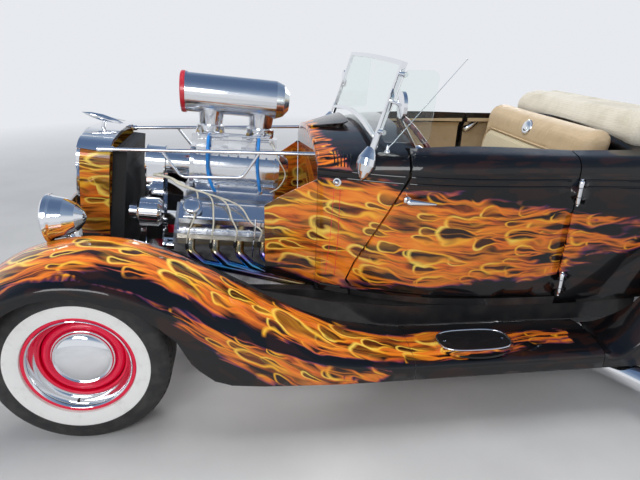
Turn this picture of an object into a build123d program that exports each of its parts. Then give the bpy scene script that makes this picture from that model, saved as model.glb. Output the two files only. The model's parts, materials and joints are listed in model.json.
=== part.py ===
from build123d import *
import os
from math import atan2, cos, hypot, radians, sin, sqrt

# Hot rod: an open two-seat roadster with full fenders, running boards and a blown V8 in the open.
# Millimetres. x is the station behind the front axle, y is to the car's right and z is up from the
# floor, so the car faces -X. The left side is modelled and mirrored. save() shifts every piece along
# x, so that the origin lies on the floor midway between the fender noses and the tail.

os.makedirs("parts", exist_ok=True)

# Running gear
wheelbase = 2845
front_track = 1370
rear_track = 1320
front_tyre_r = 343
front_tyre_w = 206
rear_tyre_r = 368
rear_tyre_w = 246
rim_r = 208
cap_r = 120
rim_w = 152
rear_rim_w = 190
rim_flange = 9
king_pin_y = 596
king_pin_r = 11
king_pin_h = 120
axle_drop = 70
running_gap = 0.05
moving_gap = 6

# Overall body
nose_x = -480
tail_x = 3400
plate_reach = 17
fender_y = 865
fender_skin = 4
body_wall = 42
panel_gap = 5
sheet = 8
door_front_x = 1300
door_rear_x = 1981
door_foot_z = 500
cowl_x = 945
hood_side_x = 722
seat_wall_x = 2330
lid_front_x = 2680
lid_swing_r = 608
lid_half_w = 400
board_top_z = 335
board_foot_z = 252
board_rear_x = 2122

# Frame
rail_w = 50
rail_h = 100
rail_z = 390

# Engine, in its own frame: measured from the middle of the crankshaft, along, across and above it
engine_x = 540
engine_z = 495
engine_tilt = 5
bore_spacing = 111
block_length = 500
block_half_w = 120
deck_height = 229
head_h = 105
head_length = 470
cover_h = 75
pan_depth = 150
blower_z = 430
blower_length = 400
blower_half_h = 93
blower_foot = blower_z - blower_half_h - 6
carb_spacing = 232
scoop_r = 88
scoop_z = 768
crank_pulley_r = 82
blower_pulley_r = 68
belt_x = -350
belt_w = 76

# Windshield
glass_t = 6
post_foot = (1155, 509, 1118)
post_head = (1261, 503, 1449)

# Body sections, from the cowl's front to the tail. Columns: station, half width and height of the
# sill, half width and height of the belt, half width and height of the top rail, crown height
BODY = [
    (700, 352, 455, 396, 970, 350, 1040, 1098),
    (cowl_x, 415, 455, 440, 985, 398, 1062, 1128),
    (door_front_x, 566, 450, 592, 1010, 547, 1100, 1172),
    (door_rear_x, 632, 440, 652, 1038, 602, 1106, 1180),
    (2500, 622, 455, 645, 1042, 592, 1108, 1165),
    (3000, 560, 490, 572, 975, 520, 1040, 1092),
    (3250, 490, 505, 492, 800, 445, 880, 925),
    (tail_x, 420, 520, 425, 610, 380, 675, 710),
]


def block(x0, x1, y0, y1, z0, z1):
    """Box between two corners."""
    return Pos((x0 + x1) / 2, (y0 + y1) / 2, (z0 + z1) / 2) * Box(x1 - x0, y1 - y0, z1 - z0)


def rod(start, end, radius):
    """Round bar from one point to another."""
    way = Vector(*end) - Vector(*start)
    return extrude(Plane(origin=start, z_dir=way) * Circle(radius), way.length)


def pipe(route, radius, bend, bore=0):
    """Round bar or tube along straight runs joined by tangent arcs."""
    path = FilletPolyline(*route, radius=bend)
    start = Plane(origin=path @ 0, z_dir=path % 0)
    bar = sweep(start * Circle(radius), path=path)
    if bore:
        bar -= sweep(start * Circle(bore), path=path)
    return bar


def turned(points, centre, direction):
    """Revolve an outline of (along, radius) points about an axis."""
    way = Vector(*direction)
    side = Vector(1, 0, 0) if abs(way.Z) > 0.9 else Vector(0, 0, 1)
    plane = Plane(origin=centre, x_dir=way, z_dir=way.cross(side))
    outline = plane * make_face(Polyline(*points, close=True))
    return revolve(outline, axis=Axis(centre, direction))


def side_prism(points, y0, y1, corner=0):
    """Prism across the car from an outline of (x, z) points, its corners rounded."""
    outline = make_face(Polyline(*points, close=True))
    if corner:
        outline = fillet(outline.vertices(), corner)
    plane = Plane(origin=(0, y0, 0), x_dir=(1, 0, 0), z_dir=(0, -1, 0))
    return extrude(plane * outline, y0 - y1)


def plan_prism(points, z0, z1, corner=0):
    """Upright prism from an outline of (x, y) points."""
    outline = make_face(Polyline(*points, close=True))
    if corner:
        outline = fillet(outline.vertices(), corner)
    return extrude(Plane.XY.offset(z0) * outline, z1 - z0)


def other_side(shape):
    """Mirror a left-hand piece to the car's right."""
    return mirror(shape, about=Plane.XZ)


def both(shape):
    """A left-hand piece with its mirror image."""
    return Compound(children=[*solids_of(shape), *solids_of(other_side(shape))])


def solids_of(shape):
    return [Solid(solid.wrapped) for solid in shape.solids()]


def gather(*shapes):
    """Pieces on one body that do not touch, kept as separate solids of one node."""
    return Compound(children=[solid for shape in shapes for solid in solids_of(shape)])


def save(name, shape):
    """Write a piece in the row's frame."""
    export_step(Pos(-middle_x, 0, 0) * shape, f"parts/{name}.step")


middle_x = (nose_x + tail_x + plate_reach) / 2


# Wheels and tyres

groove_spacing = 38
groove_w = 5
groove_depth = 6


def tyre(centre, radius, width, rim_width):
    """Open carcass: bead, bulged side wall, rounded shoulder and flat tread, on both sides."""
    bead = rim_r - 16
    lip = rim_width / 2 + rim_flange
    wall = 13
    half = [(lip - 14, bead), (lip - 7, rim_r + 1)]
    # Columns: share of the half width, share of the height from bead to tread
    for across, up in ((0.94, 0.26), (1.0, 0.5), (0.95, 0.76), (0.84, 0.93), (0.7, 1.0)):
        half.append((across * width / 2, bead + up * (radius - bead)))
    inner = [(lip - 14 - wall, bead)]
    for across, up in ((0.94, 0.26), (1.0, 0.5), (0.92, 0.80), (0.7, 0.93)):
        inner.append((across * width / 2 - wall, bead + up * (radius - bead)))
    tread = []
    for groove in (-groove_spacing, 0, groove_spacing):
        for across, depth in ((-groove_w, 0), (1 - groove_w, groove_depth), (groove_w - 1, groove_depth),
                              (groove_w, 0)):
            tread.append((groove + across, radius - depth))
    outline = [(-a, r) for a, r in half] + tread + half[::-1] + inner + [(-a, r) for a, r in inner[::-1]]
    return turned(outline, centre, (0, 1, 0))


def wheel(centre, width, side, brake_gap):
    """Steel wheel with trim ring, hub and domed cap. side is -1 on the left, +1 on the right."""
    lip = width / 2 + rim_flange
    seat = rim_r - 16.4
    drop = rim_r - 42
    # Rim barrel: outer lip, bead seat, drop centre and inner lip, 4 mm thick
    rim = [(lip, rim_r), (lip - 6, rim_r), (lip - 12, seat), (lip - 42, seat), (lip - 58, drop),
           (-lip + 70, drop), (-lip + 44, seat), (-lip + 12, seat), (-lip + 6, rim_r), (-lip, rim_r),
           (-lip + 7, seat - 5), (-lip + 46, seat - 5), (-lip + 72, drop - 5), (lip - 56, drop - 5),
           (lip - 40, seat - 5), (lip - 7, seat - 5)]
    # Dished centre with its raised shoulder, open at the hub
    face = lip - 62
    centre_disc = [(face - 20, drop - 4), (face + 4, drop - 22), (face + 10, cap_r + 18),
                   (face - 6, cap_r + 6), (face - 6, 36), (face - 14, 36), (face - 14, cap_r + 10),
                   (face + 2, cap_r + 20), (face - 4, drop - 22), (face - 28, drop - 4)]
    # Domed cap over the hub
    cap = [(face - 7, cap_r - 1), (face + 8, cap_r), (face + 24, cap_r - 12), (face + 37, cap_r - 38),
           (face + 45, cap_r - 78), (face + 47, 0), (face - 7, 0)]
    bore = spindle_r + running_gap
    hub = [(moving_gap - brake_gap, bore), (moving_gap - brake_gap, hub_r), (face - 6, hub_r), (face - 6, 0),
           (spindle_end + 2, 0), (spindle_end + 2, bore)]
    outward = (0, side, 0)
    piece = turned(rim, centre, outward)
    for outline in (centre_disc, cap, hub):
        piece += turned(outline, centre, outward)
    return piece


front_y = front_track / 2
rear_y = rear_track / 2
spindle_r = 17
spindle_end = 10
hub_r = 42
brake_r = 126
brake_y = king_pin_y + 44
rear_brake_y = rear_y - 28
for side, name in ((-1, "left"), (1, "right")):
    front_centre = (0, side * front_y, front_tyre_r)
    rear_centre = (wheelbase, side * rear_y, rear_tyre_r)
    save(f"tyre_front_{name}", tyre(front_centre, front_tyre_r, front_tyre_w, rim_w))
    save(f"tyre_rear_{name}", tyre(rear_centre, rear_tyre_r, rear_tyre_w, rear_rim_w))
    save(f"wheel_front_{name}", wheel(front_centre, rim_w, side, front_y - brake_y))
    save(f"wheel_rear_{name}", wheel(rear_centre, rear_rim_w, side, rear_y - rear_brake_y))


# Front axle, knuckles and steering

axle_z = front_tyre_r - axle_drop
arm_x = 150
arm_y = king_pin_y - 26
arm_z = front_tyre_r - 75
tie_r = 11
tie_pin_r = 8


def front_axle():
    """Dropped beam: level between the springs, cranked up to the king pins."""
    beam_r = 24
    beam = pipe([(0, -king_pin_y + 30, front_tyre_r), (0, -king_pin_y + 100, axle_z),
                 (0, king_pin_y - 100, axle_z), (0, king_pin_y - 30, front_tyre_r)], beam_r, 60)
    for side in (-1, 1):
        y = side * king_pin_y
        z = front_tyre_r
        boss = rod((0, y, z - 28), (0, y, z + 28), 24)
        neck = rod((0, y - side * 34, z), (0, y, z), 20)
        pin = rod((0, y, z - king_pin_h / 2), (0, y, z + king_pin_h / 2), king_pin_r)
        beam += boss + neck + pin
    return beam


def knuckle(side):
    """Forked knuckle on the king pin, with its spindle, brake disc and steering arm."""
    y = side * king_pin_y
    z = front_tyre_r
    piece = None
    for low, high in ((-56, -30), (30, 56)):
        ear = rod((0, y, z + low), (0, y, z + high), 24)
        piece = ear if piece is None else piece + ear
    piece += block(-22, 22, y + side * 29 - 11, y + side * 29 + 11, z - 56, z + 56)
    piece += rod((0, y + side * 30, z), (0, side * (front_y + spindle_end), z), spindle_r)
    piece += rod((0, side * (brake_y - 10), z), (0, side * brake_y, z), brake_r)
    piece += rod((0, y, z - 43), (arm_x, side * arm_y, arm_z), 10)
    piece += rod((arm_x, side * arm_y, arm_z - 12), (arm_x, side * arm_y, arm_z + 12), 18)
    piece -= rod((0, y, z - king_pin_h), (0, y, z + king_pin_h), king_pin_r + running_gap)
    piece -= rod((0, y, z - 29), (0, y, z + 29), 24 + moving_gap)
    eye = (arm_x, side * arm_y)
    piece -= rod((*eye, arm_z - 30), (*eye, arm_z + 30), tie_pin_r + running_gap)
    return piece


def tie_rod():
    """Tie rod between the steering arms, pinned to the left one, with a free eye on the right."""
    z = arm_z - 34
    bar = rod((arm_x, -arm_y, z), (arm_x, arm_y, z), tie_r)
    bar += rod((arm_x, -arm_y, z - 12), (arm_x, -arm_y, z + 14), 17)
    bar += rod((arm_x, arm_y, z - 12), (arm_x, arm_y, z + 14), 17)
    bar += rod((arm_x, -arm_y, z), (arm_x, -arm_y, arm_z + 16), tie_pin_r)
    return bar


save("front_axle", front_axle())
save("knuckle_left", knuckle(-1))
save("knuckle_right", knuckle(1))
save("tie_rod", tie_rod())


# Frame: boxed side rails that widen to the rear and kick up over the rear axle

# Columns: station, half width to the rail's middle, height of its middle
RAIL = [
    (-250, 300, 450),
    (300, 330, rail_z + 10),
    (900, 370, rail_z),
    (1300, 455, rail_z),
    (seat_wall_x + 10, 490, rail_z),
    (2600, 490, 556),
    (3080, 430, 562),
    (3330, 378, 510),
]


def rail():
    """Left side rail: straight boxed runs that meet at mitred joints."""
    piece = None
    for (x0, y0, z0), (x1, y1, z1) in zip(RAIL, RAIL[1:]):
        ends = []
        for x, y, z in ((x0, y0, z0), (x1, y1, z1)):
            plane = Plane(origin=(x, -y, z), x_dir=(0, 1, 0), z_dir=(1, 0, 0))
            ends.append(plane * Rectangle(rail_w, rail_h))
        run = loft(ends, ruled=True)
        piece = run if piece is None else piece + run
    return piece


def rail_pair():
    return rail() + other_side(rail())


def rail_at(station):
    """Half width and height of the rail's middle at a station."""
    for (x0, y0, z0), (x1, y1, z1) in zip(RAIL, RAIL[1:]):
        if x0 <= station <= x1:
            share = (station - x0) / (x1 - x0)
            return y0 + share * (y1 - y0), z0 + share * (z1 - z0)


def cross_tube(station, radius, dip=0):
    """Round crossmember between the inner faces of the rails, dipped under the drive line."""
    y, z = rail_at(station)
    inner = y - rail_w / 2
    if dip == 0:
        return rod((station, -inner, z), (station, inner, z), radius)
    return pipe([(station, -inner, z), (station, -inner + 150, z - dip), (station, inner - 150, z - dip),
                 (station, inner, z)], radius, 80)


front_seat_z = rail_at(0)[1] - 6


def crossmembers():
    """Front spring seat, gearbox mount and two rear tubes between the rails."""
    y, z = rail_at(0)
    inner = y - rail_w / 2
    front = block(-40, 40, -inner, inner, z - 30, front_seat_z)
    members = [front, cross_tube(1500, 24, 76), cross_tube(2120, 24, 84), cross_tube(3280, 24)]
    return gather(*[member - rail_pair() for member in members])


save("frame_rail_left", rail())
save("frame_rail_right", other_side(rail()))
save("crossmembers", crossmembers())


# Springs, radius rods and rear axle

def front_spring():
    """Transverse leaf pack under the front crossmember, curved down to the axle's ends."""
    seat_z = rail_at(0)[1] - 30
    pack = None
    # Columns: half length of the leaf, drop of its ends, thickness
    for leaf, (half, fall, thick) in enumerate(((430, 62, 8), (330, 38, 8), (230, 20, 8), (130, 8, 8))):
        top = seat_z - (3 - leaf) * 8
        upper = ThreePointArc((-half, top - fall), (0, top), (half, top - fall))
        lower = ThreePointArc((-half, top - fall - thick), (0, top - thick), (half, top - fall - thick))
        outline = make_face([upper, Line(upper @ 1, lower @ 1), lower, Line(lower @ 0, upper @ 0)])
        plane = Plane(origin=(-25, 0, 0), x_dir=(0, 1, 0), z_dir=(1, 0, 0))
        plate = extrude(plane * outline, 50)
        pack = plate if pack is None else pack + plate
    shackle_z = seat_z - 24 - 62 - 4
    for side in (-1, 1):
        pack += rod((0, side * 418, shackle_z), (0, side * 430, axle_z + 22), 9)
    return pack


hairpin_y = king_pin_y - 140


def hairpin(side):
    """Radius rod from the axle back to a bracket under the frame rail."""
    x = 820
    y = side * (rail_at(x)[0] - 10)
    rail_foot = rail_at(x)[1] - rail_h / 2
    foot = (x, y, rail_foot - 18)
    upper = rod((0, side * hairpin_y, axle_z + 20), foot, 10)
    lower = rod((0, side * hairpin_y, axle_z - 20), foot, 10)
    return upper + lower + rod((x, y, rail_foot - 28), (x, y, rail_foot), 13) - front_axle()


damper_y = rail_at(2700)[0] - rail_w / 2 - 42


def rear_axle():
    """Axle tubes with a round differential housing and the enclosed drive shaft."""
    z = rear_tyre_r
    body = rod((wheelbase, -rear_y + 30, z), (wheelbase, rear_y - 30, z), 36)
    body += turned([(-110, 0), (-110, 90), (-60, 135), (60, 135), (110, 90), (110, 0)],
                   (wheelbase, 0, z), (1, 0, 0))
    body += rod((wheelbase - 100, 0, z), (gearbox_rear_x + 14, 0, z + 10), 38)
    for side in (-1, 1):
        body += rod((wheelbase, side * (rear_brake_y - 12), z), (wheelbase, side * rear_brake_y, z), brake_r)
        shaft_end = side * (rear_y + spindle_end)
        body += rod((wheelbase, side * (rear_y - 40), z), (wheelbase, shaft_end, z), spindle_r)
        body += rod((wheelbase, side * damper_y, z), (wheelbase - 62, side * damper_y, z + 22), 14)
    return body


def rear_links(side):
    """Coil-over damper and trailing link at one end of the rear axle."""
    z = rear_tyre_r
    y = side * damper_y
    top_x, top_z = wheelbase - 155, z + 178
    damper = rod((wheelbase - 60, y, z + 20), (wheelbase - 120, y, z + 120), 16)
    spring = rod((wheelbase - 85, y, z + 62), (top_x, y, top_z), 34)
    cap = rod((top_x, y, top_z), (top_x, side * (rail_at(top_x)[0] - rail_w / 2 + 1), top_z), 14)
    inner = rail_at(2200)[0] - rail_w / 2
    link = rod((wheelbase, side * 410, z - 20), (2200, side * (inner - 28), rail_z - 20), 15)
    link += rod((2200, side * (inner - 40), rail_z - 20), (2200, side * inner, rail_z - 20), 13)
    return gather(damper + spring + cap, link)


gearbox_rear_x = 1640
save("front_spring", front_spring() - front_axle())
save("rear_axle", rear_axle())
links = [hairpin(-1) - rail(), hairpin(1) - other_side(rail())]
links += [link - rear_axle() - rail_pair() for link in rear_links(-1).solids() + rear_links(1).solids()]
save("suspension_links", gather(*links))


# Engine. Its pieces are modelled level about the crankshaft, then tilted nose-up into the car.

engine_place = Location((engine_x, 0, engine_z), (0, engine_tilt, 0))
bank = radians(45)


def in_engine(shape):
    return engine_place * shape


def bank_point(up, out, side=-1):
    """Point (y, z) at a height up the bank and a distance out of its plane."""
    return side * (up * sin(bank) + out * cos(bank)), up * cos(bank) - out * sin(bank)


def bank_prism(low, high, half_w, length, shift=0):
    """Box on the left bank between two heights up it."""
    corners = [bank_point(low, -half_w), bank_point(low, half_w), bank_point(high, half_w),
               bank_point(high, -half_w)]
    outline = make_face(Polyline(*corners, close=True))
    plane = Plane(origin=(shift - length / 2, 0, 0), x_dir=(0, 1, 0), z_dir=(1, 0, 0))
    return extrude(plane * outline, length)


def engine_block():
    """Block, heads, sump, bell housing and gearbox as one closed mass."""
    half = block_length / 2
    core = block(-half, half, -block_half_w, block_half_w, -70, 170)
    for shape in (bank_prism(60, deck_height, 72, block_length),
                  bank_prism(deck_height - 1, deck_height + head_h, 78, head_length)):
        core += shape + other_side(shape)
    core += block(-half + 20, half - 20, -105, 105, -pan_depth, -69)
    bell = Plane(origin=(half - 1, 0, 0), x_dir=(0, 1, 0), z_dir=(1, 0, 0))
    core += loft([bell * Circle(170), bell.offset(170) * Circle(105)])
    core += rod((half + 160, 0, 0), (half + 520, 0, 0), 98)
    core += rod((half + 500, 0, 0), (half + 850, 0, 0), 55)
    return core


def valve_cover():
    """Tall cast cover with a sloped rim, a raised panel and a breather on top."""
    low = deck_height + head_h
    top = low + cover_h
    cover = bank_prism(low, low + 12, 66, 446)
    corners = [bank_point(up, out) for up, out in ((low + 11, -60), (low + 11, 60), (top - 16, 54),
                                                   (top, 40), (top, -40), (top - 16, -54))]
    plane = Plane(origin=(-215, 0, 0), x_dir=(0, 1, 0), z_dir=(1, 0, 0))
    cover += extrude(plane * make_face(Polyline(*corners, close=True)), 430)
    cover += bank_prism(top - 1, top + 4, 30, 390)
    # The breather's neck, and its wider cap above
    for low_up, high_up, radius in ((top - 2, top + 28, 27), (top + 20, top + 46, breather_r)):
        start = (breather_x, *bank_point(low_up, breather_out))
        cover += rod(start, (breather_x, *bank_point(high_up, breather_out)), radius)
    for x in (-190, -95, 0, 95, 190):
        for out in (-62, 62):
            cover += rod((x, *bank_point(low, out)), (x, *bank_point(low + 18, out)), 6)
    return cover


breather_x = -150
breather_r = 36
breather_out = -4


def intake_manifold():
    """Manifold between the banks that carries the blower."""
    # Columns: height, half width
    outline = [(-110, 172), (-165, 235), (-160, 268), (-112, 284), (-108, blower_foot), (108, blower_foot),
               (112, 284), (160, 268), (165, 235), (110, 172)]
    plane = Plane(origin=(-215, 0, 0), x_dir=(0, 1, 0), z_dir=(1, 0, 0))
    return extrude(plane * make_face(Polyline(*outline, close=True)), 430) - engine_block()


blower_front_x = -175


def blower():
    """Two-lobe case with cast ribs round it, a bearing plate, a snout and a rounded rear cover."""
    plane = Plane(origin=(blower_front_x, 0, blower_z), x_dir=(0, 1, 0), z_dir=(1, 0, 0))
    lobes = RectangleRounded(222, 2 * blower_half_h, 80)
    case = extrude(plane * lobes, blower_length)
    for rib in range(9):
        around = plane.offset(24 + rib * 44)
        case += extrude(around * RectangleRounded(236, 2 * blower_half_h + 11, 86), 9)
    plate = plane.offset(-16)
    case += extrude(plate * RectangleRounded(246, 2 * blower_half_h + 11, 70), 17)
    rear = plane.offset(blower_length - 1)
    case += loft([rear * RectangleRounded(228, 180, 80), rear.offset(46) * RectangleRounded(160, 116, 55)])
    snout_x = blower_front_x - 15
    case += rod((snout_x, 0, blower_z), (belt_x + belt_w / 2 + 6, 0, blower_z), 52)
    case += block(blower_front_x + 10, blower_front_x + blower_length - 10, -100, 100,
                  blower_foot, blower_z - blower_half_h + 30)
    case += block(blower_front_x + 10, blower_front_x + blower_length - 10, -88, 88,
                  blower_z + blower_half_h - 30, blower_z + blower_half_h + 14)
    return case


def front_drive():
    """Crank pulley, blower pulley and the wide toothed belt round them."""
    span = blower_z
    rear_x = belt_x + belt_w / 2
    front_x = belt_x - belt_w / 2
    thick = 7
    loop_face = []
    for grow in (thick, 0):
        slope = (crank_pulley_r - blower_pulley_r) / span
        level = sqrt(1 - slope * slope)
        low_r = crank_pulley_r + grow + 1
        high_r = blower_pulley_r + grow + 1
        low = [(s * low_r * level, low_r * slope) for s in (-1, 1)]
        high = [(s * high_r * level, span + high_r * slope) for s in (-1, 1)]
        edges = [ThreePointArc(low[0], (0, -low_r), low[1]), Line(low[1], high[1]),
                 ThreePointArc(high[1], (0, span + high_r), high[0]), Line(high[0], low[0])]
        loop_face.append(make_face(edges))
    plane = Plane(origin=(front_x, 0, 0), x_dir=(0, 1, 0), z_dir=(1, 0, 0))
    belt = extrude(plane * (loop_face[0] - loop_face[1]), belt_w)
    pulleys = rod((front_x - 6, 0, 0), (-block_length / 2, 0, 0), 40)
    for radius, z in ((crank_pulley_r, 0), (blower_pulley_r, span)):
        pulleys += rod((front_x, 0, z), (rear_x, 0, z), radius + 1.5)
        for x in (front_x - 5, rear_x):
            pulleys += rod((x, 0, z), (x + 5, 0, z), radius + 12)
    return belt + pulleys


def carburettors():
    """Two four-barrel carburettors: base, bowls, air horn and the neck up to the scoop."""
    base_z = blower_z + blower_half_h + 14
    pair = None
    for x in (-carb_spacing / 2, carb_spacing / 2):
        x += 10
        body = block(x - 62, x + 62, -58, 58, base_z, base_z + 58)
        for end in (-1, 1):
            bowl_x = x + end * 84
            body += block(min(bowl_x, bowl_x - end * 30), max(bowl_x, bowl_x - end * 30), -40, 40,
                          base_z + 12, base_z + 50)
        body += rod((x, 0, base_z + 57), (x, 0, base_z + 92), 66)
        neck = Plane(origin=(x, 0, base_z + 91), x_dir=(1, 0, 0), z_dir=(0, 0, 1))
        rise = scoop_z - scoop_r - base_z - 91
        body += loft([neck * Circle(52), neck.offset(rise + 40) * Circle(64)])
        body -= scoop_body()
        pair = body if pair is None else gather(pair, body)
    return pair


scoop_front_x = -231
scoop_length = 421


def scoop_body():
    return turned([(0, 0), (0, scoop_r), (scoop_length, scoop_r), (scoop_length + 36, scoop_r - 14),
                   (scoop_length + 60, scoop_r - 42), (scoop_length + 68, 0)],
                  (scoop_front_x, 0, scoop_z), (1, 0, 0))


def air_scoop():
    """Torpedo scoop: an open front mouth with a rolled ring and a rounded closed tail."""
    tube = scoop_body()
    tube -= rod((scoop_front_x - 1, 0, scoop_z), (scoop_front_x + scoop_length, 0, scoop_z), scoop_r - 3)
    ring = turned([(-8, scoop_r - 3), (-8, scoop_r + 4), (14, scoop_r + 4), (14, scoop_r - 3)],
                  (scoop_front_x, 0, scoop_z), (1, 0, 0))
    return tube + ring


port_y, port_z = bank_point(deck_height + 42, 78)
header_r = 21


def header():
    """Four primary tubes from their flange, swept out, down and back into one collector."""
    low, high = bank_point(deck_height + 12, 78), bank_point(deck_height + 74, 78)
    low_out, high_out = bank_point(deck_height + 12, 88), bank_point(deck_height + 74, 88)
    plane = Plane(origin=(-head_length / 2 + 10, 0, 0), x_dir=(0, 1, 0), z_dir=(1, 0, 0))
    tubes = extrude(plane * make_face(Polyline(low, high, high_out, low_out, close=True)), head_length - 20)
    end_x, end_y, end_z = collector
    for cylinder in range(4):
        x = (cylinder - 1.5) * bore_spacing
        fan = (cylinder - 1.5) * 9
        route = [(x, *bank_point(deck_height + 43, 80)), (x + 4, *bank_point(deck_height + 43, 140)),
                 (x + 62, *bank_point(deck_height + 10, 180)),
                 (end_x - 30, end_y - 12 + fan, end_z + 12 - fan), (end_x + 40, end_y, end_z - 4)]
        tubes += pipe(route, header_r, 26)
    tubes += rod(collector, collector_end, 38)
    return tubes


collector = (400, -285, -62)
collector_end = (530, -285, -76)


def alternator():
    """Alternator high on the left front, with its fan pulley and a bracket to the head."""
    centre = (-345, -250, 260)
    x, y, z = centre
    body = turned([(-52, 0), (-52, 46), (-38, 64), (38, 64), (54, 48), (54, 0)], centre, (1, 0, 0))
    body += rod((x - 84, y, z), (x - 50, y, z), 34)
    body += block(x + 30, -head_length / 2, y + 8, y + 44, z - 30, z - 4)
    return body


save("engine_block", in_engine(engine_block()))
save("valve_covers", in_engine(both(valve_cover())))
save("intake_manifold", in_engine(intake_manifold()))
save("blower", in_engine(blower()))
save("front_drive", in_engine(front_drive()))
save("carburettors", in_engine(carburettors()))
save("air_scoop", in_engine(air_scoop()))
save("headers", in_engine(both(header() - engine_block())))
save("alternator", in_engine(alternator() - engine_block()))


# Exhaust: from each collector back under the floor and out to the side ahead of the rear wheel

exhaust_r = 29
tip_r = 50
tip_wall = 2.5
tip_start = (2180, -690, 199)
tip_end = (2318, -930, 195)


def exhaust():
    """Pipe under the floor with a flared chrome tip at the side."""
    reach = [end + 1.1 * (end - start) for start, end in zip(collector, collector_end)]
    route = [in_engine_point(collector_end), in_engine_point(reach), (1420, -330, 262), (1850, -345, 222),
             (2020, -520, 204), tip_start]
    piece = pipe(route, exhaust_r, 70)
    way = Vector(*tip_end) - Vector(*tip_start)
    tip = rod(tuple(Vector(*tip_start) - way * 0.08), tip_end, tip_r)
    mouth = Vector(*tip_start) + way * 0.25
    tip -= rod(tuple(mouth), tuple(Vector(*tip_end) + way * 0.1), tip_r - tip_wall)
    return piece + tip


def in_engine_point(point):
    """Car position of a point given in the engine's frame."""
    x, y, z = point
    tilt = radians(engine_tilt)
    return engine_x + x * cos(tilt) + z * sin(tilt), y, engine_z - x * sin(tilt) + z * cos(tilt)


save("exhaust_pipes", both(exhaust()))


# Fenders and running boards: crowned sections from the inner bead over the crest to a vertical flank

# Columns: origin's station and height, direction of the section (degrees up from +x), height along it
# of the foot, the bead, the crest and the shoulder, half width at the bead, half width at the flank
FRONT_FENDER = [
    (0, front_tyre_r, 176, 300, 452, 1 - nose_x, 440, 470, 835),
    (0, front_tyre_r, 148, 290, 430, 460, 410, 425, 858),
    (0, front_tyre_r, 118, 275, 398, 446, 388, 390, fender_y),
    (0, 0, 90, 605, 715, 790, 724, 385, fender_y),
    (200, 0, 90, 545, 695, 774, 688, 395, fender_y),
    (400, 0, 90, 350, 618, 700, 592, 418, fender_y),
    (600, 0, 90, 215, 520, 592, 487, 448, fender_y),
    (800, 0, 90, 190, 432, 488, 398, 490, fender_y),
    (1000, 0, 90, 185, 375, 404, 346, 532, fender_y),
    (1160, 0, 90, 182, 344, 362, 329, 562, fender_y),
    (1300, 0, 90, 180, board_top_z, board_top_z + 9, board_top_z - 10, 586, fender_y),
]
BOARD = [
    FRONT_FENDER[-1],
    (board_rear_x, 0, 90, 180, board_top_z, board_top_z + 9, board_top_z - 10, 600, fender_y),
]
REAR_FENDER = [
    (board_rear_x + 3, 0, 90, 180, board_top_z, board_top_z + 9, board_top_z - 10, 600, fender_y),
    (2260, 0, 90, 200, 372, 402, 352, 604, fender_y),
    (2420, 0, 90, 300, 590, 625, 545, 606, fender_y),
    (2620, 0, 90, 560, 790, 838, 750, 596, fender_y),
    (wheelbase, 0, 90, 680, 868, 922, 830, 570, fender_y),
    (wheelbase, rear_tyre_r, 62, 310, 480, 528, 436, 530, fender_y - 4),
    (wheelbase, rear_tyre_r, 30, 320, 480, 524, 440, 480, fender_y - 12),
    (wheelbase, rear_tyre_r, 2, 330, 480, 520, 450, 450, fender_y - 30),
]
seam_x = FRONT_FENDER[-1][0]


def fender_section(row, skin=0, shift=0):
    """Closed section: inner wall, crown, rounded shoulder, flank and an open foot."""
    x, z, turn, foot, bead, crest, shoulder, bead_y, flank_y = row
    angle = radians(turn)
    plane = Plane(origin=(x, 0, z), x_dir=(0, 1, 0), z_dir=(sin(angle), 0, -cos(angle))).offset(shift)
    crest_y = 0.5 * (bead_y + flank_y) + 20
    turn_in = min(24, 0.5 * (crest - shoulder) + 14)
    if skin:
        bead_y -= 30
        bead -= 6
        foot -= 30
    crown = ThreePointArc((-bead_y, bead - skin), (-crest_y, crest - skin),
                          (-flank_y + 14 + skin, shoulder - skin))
    roll = ThreePointArc(crown @ 1, (-flank_y + 3 + skin, shoulder - 0.5 * turn_in - skin),
                         (-flank_y + skin, shoulder - turn_in - 10))
    flank = Line(roll @ 1, (-flank_y + skin, foot))
    bottom = Line(flank @ 1, (-bead_y, foot))
    inner = Line(bottom @ 1, crown @ 0)
    return plane * make_face([crown, roll, flank, bottom, inner])


def fender_shell(rows):
    """Sheet of even thickness, open below and along the bead."""
    outer = loft([fender_section(row) for row in rows])
    shifts = [-2] + [0] * (len(rows) - 2) + [2]
    hollow = loft([fender_section(row, fender_skin, shift) for row, shift in zip(rows, shifts)])
    return outer - hollow


def crown_height(rows, x, y):
    """Height of a fender's crown at a point, from the upright sections of its table."""
    upright = [row for row in rows if row[2] == 90]
    if x < upright[0][0]:
        upright = [(-400, 0, 90, 300, 560, 640, 560, 385, fender_y)] + upright
    for low, high in zip(upright, upright[1:]):
        if low[0] <= x <= high[0]:
            share = (x - low[0]) / (high[0] - low[0])
            bead, crest, shoulder, bead_y = (a + share * (b - a) for a, b in zip(low[4:8], high[4:8]))
            crest_y = 0.5 * (bead_y + fender_y) + 20
            across = (abs(y) - crest_y) / (crest_y - bead_y)
            return crest - (crest - bead) * across * across


# Radiator, grille shell and grille, leaning back together

shell_lean = 8
shell_foot = (-122, 0, 476)
shell_depth = 122
shell_skin = 12
shell_plane = Plane(origin=shell_foot, x_dir=(0, 1, 0),
                    z_dir=(cos(radians(shell_lean)), 0, -sin(radians(shell_lean))))


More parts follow.
